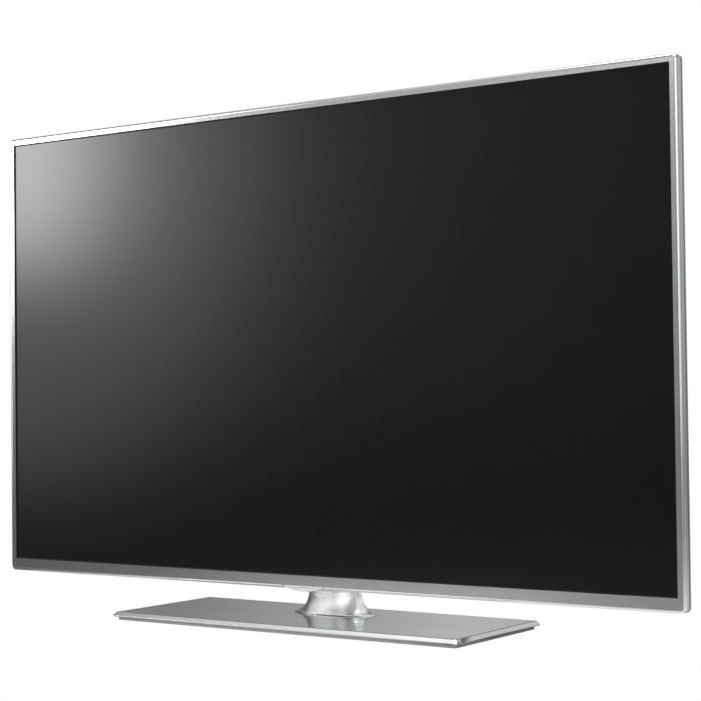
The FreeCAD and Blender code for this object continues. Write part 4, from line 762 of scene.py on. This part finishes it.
feed(tree, spin.inputs["Seed"], sizes["Seed"])
turn = node_of(tree, "ShaderNodeCombineXYZ", X=-math.pi / 2, Y=spin.outputs[1])
close_tree(tree, outlet, copies(tree, inlet, cross.outputs[0], turn.outputs[0]), FINISHES["black_screw"])

screw_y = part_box("cover_screws")[0].y + SCREW_SHANK_L
set_h = HIGH.z - LOW.z
spots = [(HIGH.x * share, screw_y, HIGH.z - SCREW_INSET) for share in TOP_ROW]
spots += [(HIGH.x * share, screw_y, LOW.z + SCREW_INSET) for share in BOTTOM_ROW]
spots += [(side * (HIGH.x - SCREW_INSET), screw_y, LOW.z + set_h * share)
          for side in (-1, 1) for share in SIDE_ROWS]
mesh = run_tree(tree, {"Seed": SCREW_SEED}, spots)
screws = piece("cover_pan_head_screws", mesh, "black_screw", "set")
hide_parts("cover_screws")

# %% The base's feet
FOOT_R = 9.0 * MM
FOOT_H = 1.8 * MM
FOOT_SEGMENTS = 40
FOOT_R_RINGS = (0, 0.50, 0.56, 0.62, 0.84, 0.95, 1, 1, 0)
FOOT_H_RINGS = (0.18, 0.18, 0.10, 0, 0, 0.10, 0.35, 1, 1)
tree, inlet, outlet = new_tree("rubber_feet", [("Radius", "Float", FOOT_R), ("Height", "Float", FOOT_H)])
body = turned(tree, FOOT_SEGMENTS, len(FOOT_R_RINGS), [(FOOT_R_RINGS, inlet.outputs["Radius"])],
              [(FOOT_H_RINGS, inlet.outputs["Height"])])
close_tree(tree, outlet, copies(tree, inlet, body, (0.0, 0.0, 0.0)), FINISHES["foot_rubber"])
foot_low, foot_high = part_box("base_feet")
spots = [(x, y, foot_low.z) for x in (foot_low.x + FOOT_R, foot_high.x - FOOT_R)
         for y in (foot_low.y + FOOT_R, foot_high.y - FOOT_R)]
spots.append((0.0, foot_low.y + FOOT_R, foot_low.z))
mesh = run_tree(tree, {"Radius": FOOT_R, "Height": FOOT_H}, spots)
feet = piece("rubber_feet", mesh, "foot_rubber", "base")
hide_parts("base_feet")

# %% The rims of the vents
COVER_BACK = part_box("rear_cover")[1].y
VENT_W = 3.0 * MM
VENT_PITCH = 9.0 * MM
VENT_COUNT = 24
VENT_GROUP_X = 190.0 * MM
SLOPE_TOP = LOW.z + 357.0 * MM
SLOPE_H = 35.0 * MM
SLOPE_D = 36.4 * MM
VENT_H = 16.0 * MM
RIM_BAR = 0.9 * MM

tree, inlet, outlet = new_tree("slot_rims", [
    ("Slot width", "Float", VENT_W), ("Slot length", "Float", VENT_H), ("Bar", "Float", RIM_BAR),
    ("Tilt", "Float", 0.0)])
sizes = inlet.outputs
path = node_of(tree, "GeometryNodeCurvePrimitiveQuadrilateral",
               Width=maths(tree, "ADD", sizes["Slot width"], sizes["Bar"]),
               Height=maths(tree, "ADD", sizes["Slot length"], sizes["Bar"]))
softened = node_of(tree, "GeometryNodeFilletCurve", "POLY", Curve=path.outputs[0], Radius=sizes["Bar"],
                   Count=3)
bar_shape = node_of(tree, "GeometryNodeCurvePrimitiveQuadrilateral", Width=sizes["Bar"], Height=sizes["Bar"])
bar_round = node_of(tree, "GeometryNodeFilletCurve", "POLY", Curve=bar_shape.outputs[0],
                    Radius=maths(tree, "MULTIPLY", sizes["Bar"], 0.3), Count=1)
hoop = node_of(tree, "GeometryNodeCurveToMesh", Curve=softened.outputs[0], Profile_Curve=bar_round.outputs[0])
turn = node_of(tree, "ShaderNodeCombineXYZ", X=sizes["Tilt"])
close_tree(tree, outlet, copies(tree, inlet, hoop.outputs[0], turn.outputs[0]), FINISHES["back_plastic"])

slope_tilt = -math.atan2(SLOPE_H, SLOPE_D)
vent_z = SLOPE_TOP - SLOPE_H / 2
vent_y = COVER_BACK - SLOPE_D / 2
row = [(i - (VENT_COUNT - 1) / 2) * VENT_PITCH for i in range(VENT_COUNT)]
columns = [side * VENT_GROUP_X + across for side in (-1, 1) for across in row]
mesh = run_tree(tree, {"Slot length": VENT_H / math.cos(math.atan2(SLOPE_D, SLOPE_H)), "Tilt": slope_tilt},
                [(x, vent_y, vent_z) for x in columns])
rims = piece("vent_rims", mesh, "back_plastic", "set")

# %% [markdown]
# ## The base
#
# The base is a silver plate with a polished band all round its upper edge. The top turns down a little
# towards that band, which draws a thin dark line along it. The plate has a round hole where the swivel
# goes through. Its rings run from the hole along the underside, up the edge, behind the band, over the
# shoulder and back to the hole on top, so the plate is one closed skin. The band is a second loft that
# fills the step left for it.

# %% Build the base plate
BASE_LOW, BASE_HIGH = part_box("base_plate")
BUSH_LOW, BUSH_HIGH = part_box("swivel_bush")
BASE_R = 5.0 * MM
BEVEL = 3.7 * MM
BEVEL_ROUND = 0.25 * MM
SHOULDER = 0.5 * MM
SHOULDER_STEPS = [(0.25, 0.36), (0.6, 0.22), (1.3, 0.07), (2.2, 0.0)]
SHOULDER_END = 2.4 * MM
TRIM_T = 0.6 * MM
TRIM_LIP = 0.1 * MM
TRIM_BREAK_IN = 0.06 * MM
TRIM_BREAK_UP = 0.04 * MM


def base_ring(inset, z):
    """A ring drawn in from the base's outline, at a height."""
    points = outline(BASE_LOW.x + inset, BASE_HIGH.x - inset, BASE_LOW.y + inset, BASE_HIGH.y - inset,
                     max(BASE_R - inset, TINY_R))
    return [(x, y, z) for x, y in points]


def hole_ring(z):
    """The swivel's hole, one point for each point of the outline, in the same direction from its middle."""
    middle = (BUSH_LOW + BUSH_HIGH) / 2
    radius = (BUSH_HIGH.x - BUSH_LOW.x) / 2
    ring = []
    for x, y, _ in base_ring(0, z):
        angle = math.atan2(y - middle.y, x - middle.x)
        ring.append((middle.x + radius * math.cos(angle), middle.y + radius * math.sin(angle), z))
    return ring


trim_top = BASE_HIGH.z - SHOULDER
bevel_z = trim_top - BEVEL
trim_z = bevel_z - TRIM_LIP
rings = [hole_ring(BASE_LOW.z), base_ring(BEVEL_ROUND, BASE_LOW.z), base_ring(0, BASE_LOW.z + BEVEL_ROUND)]
rings += [base_ring(0, trim_z), base_ring(TRIM_T, trim_z)]
rings += [base_ring(BEVEL, trim_top - TRIM_T), base_ring(BEVEL, trim_top)]
rings += [base_ring(BEVEL + inset * MM, BASE_HIGH.z - drop * MM) for inset, drop in SHOULDER_STEPS]
rings += [base_ring(BEVEL + SHOULDER_END, BASE_HIGH.z), hole_ring(BASE_HIGH.z)]
mesh = bmesh.new()
loft(mesh, rings, closed=True)
base = piece("base_top_plate", mesh, "base_silver", "base")
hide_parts("base_plate")

rings = [base_ring(TRIM_T, trim_z), base_ring(0, trim_z), base_ring(TRIM_BREAK_IN, bevel_z + TRIM_BREAK_UP)]
rings += [base_ring(HOLD, bevel_z + HOLD), base_ring(BEVEL - HOLD, trim_top - HOLD)]
rings += [base_ring(BEVEL, trim_top), base_ring(BEVEL, trim_top - TRIM_T)]
mesh = bmesh.new()
loft(mesh, rings, closed=True)
trim = piece("base_polished_edge", mesh, "base_silver", "base", look="polished_edge")

# %% [markdown]
# ## The studio
#
# The photograph was taken in a white studio. The floor and the background are so bright that they lose all
# shade. If the metal saw that same white, it would be white too. So the camera sees white, while the
# surfaces see a softer room. Light Path tells the two apart.
#
# A silver set has hardly any look of its own: it shows the room. So the room is made like a ring of soft
# boxes. Its brightness is a product of factors, each a soft step along one direction: a table of boxes
# from left to right, then less light from below, from behind, and from high up in front, where a studio
# hangs its flags. The floor gets painted shade made the same way: its colour is graded in bands and darker
# far in front. A weak painted pool of light, a glow in the floor in front of the stand, lifts the lower edge.

# %% Shading by direction


def remap(tree, value, start, end, first, last):
    """Turns start..end softly into first..last."""
    node = tree.nodes.new("ShaderNodeMapRange")
    node.interpolation_type = "SMOOTHSTEP"
    for label, number in (("From Min", start), ("From Max", end), ("To Min", first), ("To Max", last)):
        node.inputs[label].default_value = number
    tree.links.new(value, node.inputs["Value"])
    return node.outputs["Result"]


def levels(tree, value, stops):
    """Grey levels along a value from -1 to 1."""
    spread = tree.nodes.new("ShaderNodeMapRange")
    spread.inputs["From Min"].default_value = -1.0
    node = tree.nodes.new("ShaderNodeValToRGB")
    node.color_ramp.interpolation = "EASE"
    for _ in stops[2:]:
        node.color_ramp.elements.new(0.5)
    for stop, (at, level) in zip(node.color_ramp.elements, stops):
        stop.position = (at + 1) / 2
        stop.color = (level, level, level, 1.0)
    tree.links.new(value, spread.inputs["Value"])
    tree.links.new(spread.outputs["Result"], node.inputs["Fac"])
    return node.outputs["Color"]


def product(tree, *factors):
    """All factors multiplied."""
    total = factors[0]
    for factor in factors[1:]:
        total = maths(tree, "MULTIPLY", total, factor)
    return total


def for_the_camera(tree, surface, white, target):
    """Shows the camera plain white where everything else meets the surface."""
    seen = tree.nodes.new("ShaderNodeLightPath")
    choose = tree.nodes.new("ShaderNodeMixShader")
    tree.links.new(seen.outputs["Is Camera Ray"], choose.inputs["Fac"])
    tree.links.new(surface, choose.inputs[1])
    tree.links.new(white, choose.inputs[2])
    tree.links.new(choose.outputs["Shader"], target.inputs["Surface"])


# %% The room that the surfaces see
world = bpy.data.worlds.new("studio")
bpy.context.scene.world = world
world.use_nodes = True
tree = world.node_tree
room = tree.nodes["Background"]
white = tree.nodes.new("ShaderNodeBackground")
for node in (room, white):
    node.inputs["Color"].default_value = (1.0, 1.0, 1.0, 1.0)
looks = tree.nodes.new("ShaderNodeTexCoord")
right, back, top = node_of(tree, "ShaderNodeSeparateXYZ", Vector=looks.outputs["Generated"]).outputs
SOFT_BOXES = [(-1.0, 0.15), (-0.75, 0.22), (-0.65, 0.44), (-0.58, 0.72), (-0.50, 1.08), (-0.44, 0.75),
              (-0.38, 0.50), (-0.30, 0.50), (-0.15, 1.10), (0.0, 1.80), (0.20, 1.90), (0.40, 1.60),
              (0.60, 1.25), (0.85, 1.0), (1.0, 0.75)]
BY_HEIGHT = (-0.15, 0.30, 0.50, 1.20)
BEHIND = (-0.2, 0.5, 1.0, 0.58)
HIGH_RIGHT = (0.8, 1.3, 1.0, 0.45)
HIGH_BEHIND = (1.05, 1.3, 1.0, 0.45)
FLAG_TOP = (0.20, 0.34, 1.0, 0.45)
FLAG_FRONT = (-0.5, -0.2, 0.0, 1.0)
level = product(tree, levels(tree, right, SOFT_BOXES), remap(tree, top, *BY_HEIGHT),
                remap(tree, back, *BEHIND),
                remap(tree, maths(tree, "ADD", right, top), *HIGH_RIGHT),
                remap(tree, maths(tree, "ADD", back, top), *HIGH_BEHIND),
                maths(tree, "MAXIMUM", remap(tree, top, *FLAG_TOP), remap(tree, back, *FLAG_FRONT)))
feed(tree, room.inputs["Strength"], level)
for_the_camera(tree, room.outputs[0], white.outputs[0], tree.nodes["World Output"])
bpy.context.scene.view_settings.view_transform = "Standard"
print(len(SOFT_BOXES), "soft boxes round the room")

# %% The floor
FLOOR_HALF = 6.0
# Painted shade on the floor: grey levels across it from left to right, and darker far in front.
FLOOR_PAINTED_SHADE = [(-0.9, 0.08), (-0.5, 0.20), (-0.3, 0.50), (-0.1, 0.90), (0.03, 1.0), (0.14, 1.0),
                (0.25, 0.65), (0.38, 0.60), (0.6, 1.0), (1.0, 0.55)]
FLOOR_FRONT_PAINTED_SHADE = (-1.0, -0.15, 0.35, 1.0)
POOL_FRONT, POOL_BACK = (-0.55, -0.18, 0.0, 0.40), (-0.14, -0.06, 1.0, 0.25)
POOL_RIGHT, POOL_LEFT = (0.08, 0.28, 1.0, 0.0), (-0.45, -0.25, 0.0, 1.0)
floor_mesh = bpy.data.meshes.new("floor")
corners = [(x * FLOOR_HALF, y * FLOOR_HALF, 0.0) for x, y in ((-1, -1), (1, -1), (1, 1), (-1, 1))]
floor_mesh.from_pydata(corners, [], [(0, 1, 2, 3)])
floor = bpy.data.objects.new("floor", floor_mesh)
bpy.context.scene.collection.objects.link(floor)
material = bpy.data.materials.new("pale_floor_painted_shade")
material.use_nodes = True
tree = material.node_tree
plain = tree.nodes["Principled BSDF"]
plain.inputs["Roughness"].default_value = 0.9
place = tree.nodes.new("ShaderNodeTexCoord")
right, back, _ = node_of(tree, "ShaderNodeSeparateXYZ", Vector=place.outputs["Object"]).outputs
# Painted shade: the floor's colour, which the metal mirrors, is graded by where it lies.
feed(tree, plain.inputs["Base Color"],
     product(tree, levels(tree, right, FLOOR_PAINTED_SHADE), remap(tree, back, *FLOOR_FRONT_PAINTED_SHADE)))
# A painted pool of light: the floor itself glows in front of the stand, where no lamp stands.
pool = product(tree, remap(tree, back, *POOL_FRONT), remap(tree, back, *POOL_BACK),
               remap(tree, right, *POOL_RIGHT), remap(tree, right, *POOL_LEFT))
feed(tree, plain.inputs["Emission Color"], pool)
plain.inputs["Emission Strength"].default_value = 1.0
glow = tree.nodes.new("ShaderNodeEmission")
glow.inputs["Strength"].default_value = 1.0
for_the_camera(tree, plain.outputs[0], glow.outputs[0], tree.nodes["Material Output"])
floor_mesh.materials.append(material)
print("floor", FLOOR_HALF * 2, "m square")

# %% [markdown]
# ## Camera and lights
#
# The camera stands to the right of the set and a little above its lower edge, with a long lens. The key
# light is put where the glass mirrors it into the camera at the upper left corner, so its glow lies on the
# picture as a soft fan. A second, wider light makes the glow fade slowly. Both leave out the stand, which
# would turn white, and the frame, whose upper bar would burn out: it gets a weaker key of its own. One
# fill only lights the frame and one only the plate under the base.
#
# The neck is chrome, so lamps don't help it: it needs something to mirror. Flat white cards lie on the
# base and hang under the set, and only the neck sees them. The dim card between front and right draws a
# darker stripe. Two more cards do the same for the lower edge of the bead.

# %% The camera
CAMERA_AT = Vector((1.20362, -1.67197, 0.27035))
CAMERA_YAW = math.radians(34.645)
CAMERA_PITCH = 0.026709
CAMERA_ROLL = -0.011342
FOCAL_PIXELS = 1729.32
FRAME_PIXELS = 701
SENSOR = 36.0

camera_data = bpy.data.cameras.new("camera")
camera = bpy.data.objects.new("camera", camera_data)
bpy.context.scene.collection.objects.link(camera)
bpy.context.scene.camera = camera
camera_data.sensor_width = SENSOR
camera_data.lens = FOCAL_PIXELS / FRAME_PIXELS * SENSOR
forward = Vector((-math.sin(CAMERA_YAW) * math.cos(CAMERA_PITCH),
                  math.cos(CAMERA_YAW) * math.cos(CAMERA_PITCH), math.sin(CAMERA_PITCH)))
level = Vector((math.cos(CAMERA_YAW), math.sin(CAMERA_YAW), 0))
upward = level.cross(forward)
right = level * math.cos(CAMERA_ROLL) + upward * math.sin(CAMERA_ROLL)
up = upward * math.cos(CAMERA_ROLL) - level * math.sin(CAMERA_ROLL)
camera.matrix_world = Matrix.Translation(CAMERA_AT) @ Matrix((right, up, -forward)).transposed().to_4x4()
print("lens", round(camera_data.lens, 1), "mm")


# %% Lights
def soft_light(name, at, towards, size, watts, tall=1.0):
    """An oval soft box that faces a point; it is tall times as high as it is wide."""
    data = bpy.data.lights.new(name, "AREA")
    data.shape = "ELLIPSE"
    data.size = size
    data.size_y = size * tall
    data.energy = watts
    light = bpy.data.objects.new(name, data)
    bpy.context.scene.collection.objects.link(light)
    light.location = at
    light.rotation_euler = (Vector(towards) - Vector(at)).to_track_quat("-Z", "Y").to_euler()
    light.visible_camera = False
    return light


def mirrored(point, lift=0.0):
    """Where a light stands that the front mirrors into the camera at a point."""
    seen_from = (point - CAMERA_AT).normalized()
    return point + Vector((seen_from.x, -seen_from.y, seen_from.z + lift)) * KEY_REACH


def reaches(light, name, receivers):
    """Lets a light fall on these objects only."""
    group = bpy.data.collections.new(name)
    for receiver in receivers:
        group.objects.link(receiver)
    light.light_linking.receiver_collection = group


KEY_REACH = 3.0
KEY_SIZE, KEY_TALL, KEY_WATTS = 0.45, 1.7, 39.0
KEY_WATTS_ON_FRAME = 20.0
HALO_SIZE, HALO_TALL, HALO_WATTS = 1.6, 1.3, 30.0
FILL_SIZE, FILL_WATTS, FILL_LIFT = 1.0, 17.0, 0.25
UNDER_AT, UNDER_TOWARDS = (0.9, -0.7, 0.12), (0.2, -0.09, 0.005)
UNDER_SIZE, UNDER_WATTS = 0.4, 4.0
OVERHEAD_AT, OVERHEAD_TOWARDS = (0.3, -0.6, 2.4), (0, 0, 0.2)
OVERHEAD_SIZE, OVERHEAD_WATTS = 2.0, 38.0

SCREEN_CORNER = Vector((OPENING[0], FILM_Y, OPENING[3]))
RIGHT_CORNER = Vector((OPENING[1], LOW.y, OPENING[3]))
LEFT_OUT = (neck.name, floor.name, bezel.name)
meshes = [made for made in bpy.context.scene.objects if made.type == "MESH"]
lit = [made for made in meshes if body_of(made) != "base" and made.name not in LEFT_OUT]
key_at = mirrored(SCREEN_CORNER)
reaches(soft_light("key", key_at, SCREEN_CORNER, KEY_SIZE, KEY_WATTS, KEY_TALL), "lit_by_key", lit)
reaches(soft_light("key_halo", key_at, SCREEN_CORNER, HALO_SIZE, HALO_WATTS, HALO_TALL), "lit_by_halo", lit)
reaches(soft_light("key_on_frame", key_at, SCREEN_CORNER, KEY_SIZE, KEY_WATTS_ON_FRAME, KEY_TALL),
        "lit_frame_key", [bezel])
reaches(soft_light("frame_fill", mirrored(RIGHT_CORNER, FILL_LIFT), RIGHT_CORNER, FILL_SIZE, FILL_WATTS),
        "lit_frame_fill", [bezel])
reaches(soft_light("under_plate_fill", UNDER_AT, UNDER_TOWARDS, UNDER_SIZE, UNDER_WATTS),
        "lit_under", [frame["nodes"]["base_underplate"]])
soft_light("overhead", OVERHEAD_AT, OVERHEAD_TOWARDS, OVERHEAD_SIZE, OVERHEAD_WATTS)
print("key light at", [round(v, 2) for v in key_at], "m")

# %% White cards between the base and the set
CARD_LIFT = 1.0 * MM
LOWER = BASE_HIGH.z + CARD_LIFT
UPPER = LOW.z - CARD_LIFT


def white_card(name, receiver, x_range, y_range, z, brightness):
    """A flat light that only one object sees. The lower cards face up and the upper ones down."""
    data = bpy.data.lights.new(name, "AREA")
    data.shape = "RECTANGLE"
    data.size = x_range[1] - x_range[0]
    data.size_y = y_range[1] - y_range[0]
    data.energy = brightness * math.pi * data.size * data.size_y
    card = bpy.data.objects.new(name, data)
    bpy.context.scene.collection.objects.link(card)
    card.location = (sum(x_range) / 2, sum(y_range) / 2, z)
    card.rotation_euler = (math.pi if z == LOWER else 0, 0, 0)
    card.visible_camera = False
    reaches(card, "lit_by_" + name, [receiver])


FRONT_X, FRONT_Y = (-0.13, 0.026), (-0.092, 0.004)
RIGHT_X, RIGHT_Y = (0.040, 0.26), (-0.092, 0.070)
FRONT_LEVEL, RIGHT_LEVEL, BETWEEN_LEVEL = 0.42, 0.28, 0.22
LOWER_GAIN, UPPER_GAIN = 1.0, 1.5
BEAD_Y = (LOW.y - 40 * MM, LOW.y + 50 * MM)
BEAD_LEFT_LEVEL, BEAD_RIGHT_LEVEL = 0.26, 0.55
for name, height, gain in (("lower", LOWER, LOWER_GAIN), ("upper", UPPER, UPPER_GAIN)):
    white_card("card_front_" + name, neck, FRONT_X, FRONT_Y, height, FRONT_LEVEL * gain)
    white_card("card_right_" + name, neck, RIGHT_X, RIGHT_Y, height, RIGHT_LEVEL * gain)
    white_card("card_between_" + name, neck, (FRONT_X[1], RIGHT_X[0]), RIGHT_Y, height, BETWEEN_LEVEL * gain)
white_card("card_bead_left", bead, (LOW.x, 0.0), BEAD_Y, LOWER, BEAD_LEFT_LEVEL)
white_card("card_bead_right", bead, (0.0, HIGH.x), BEAD_Y, LOWER, BEAD_RIGHT_LEVEL)
print("8 cards")
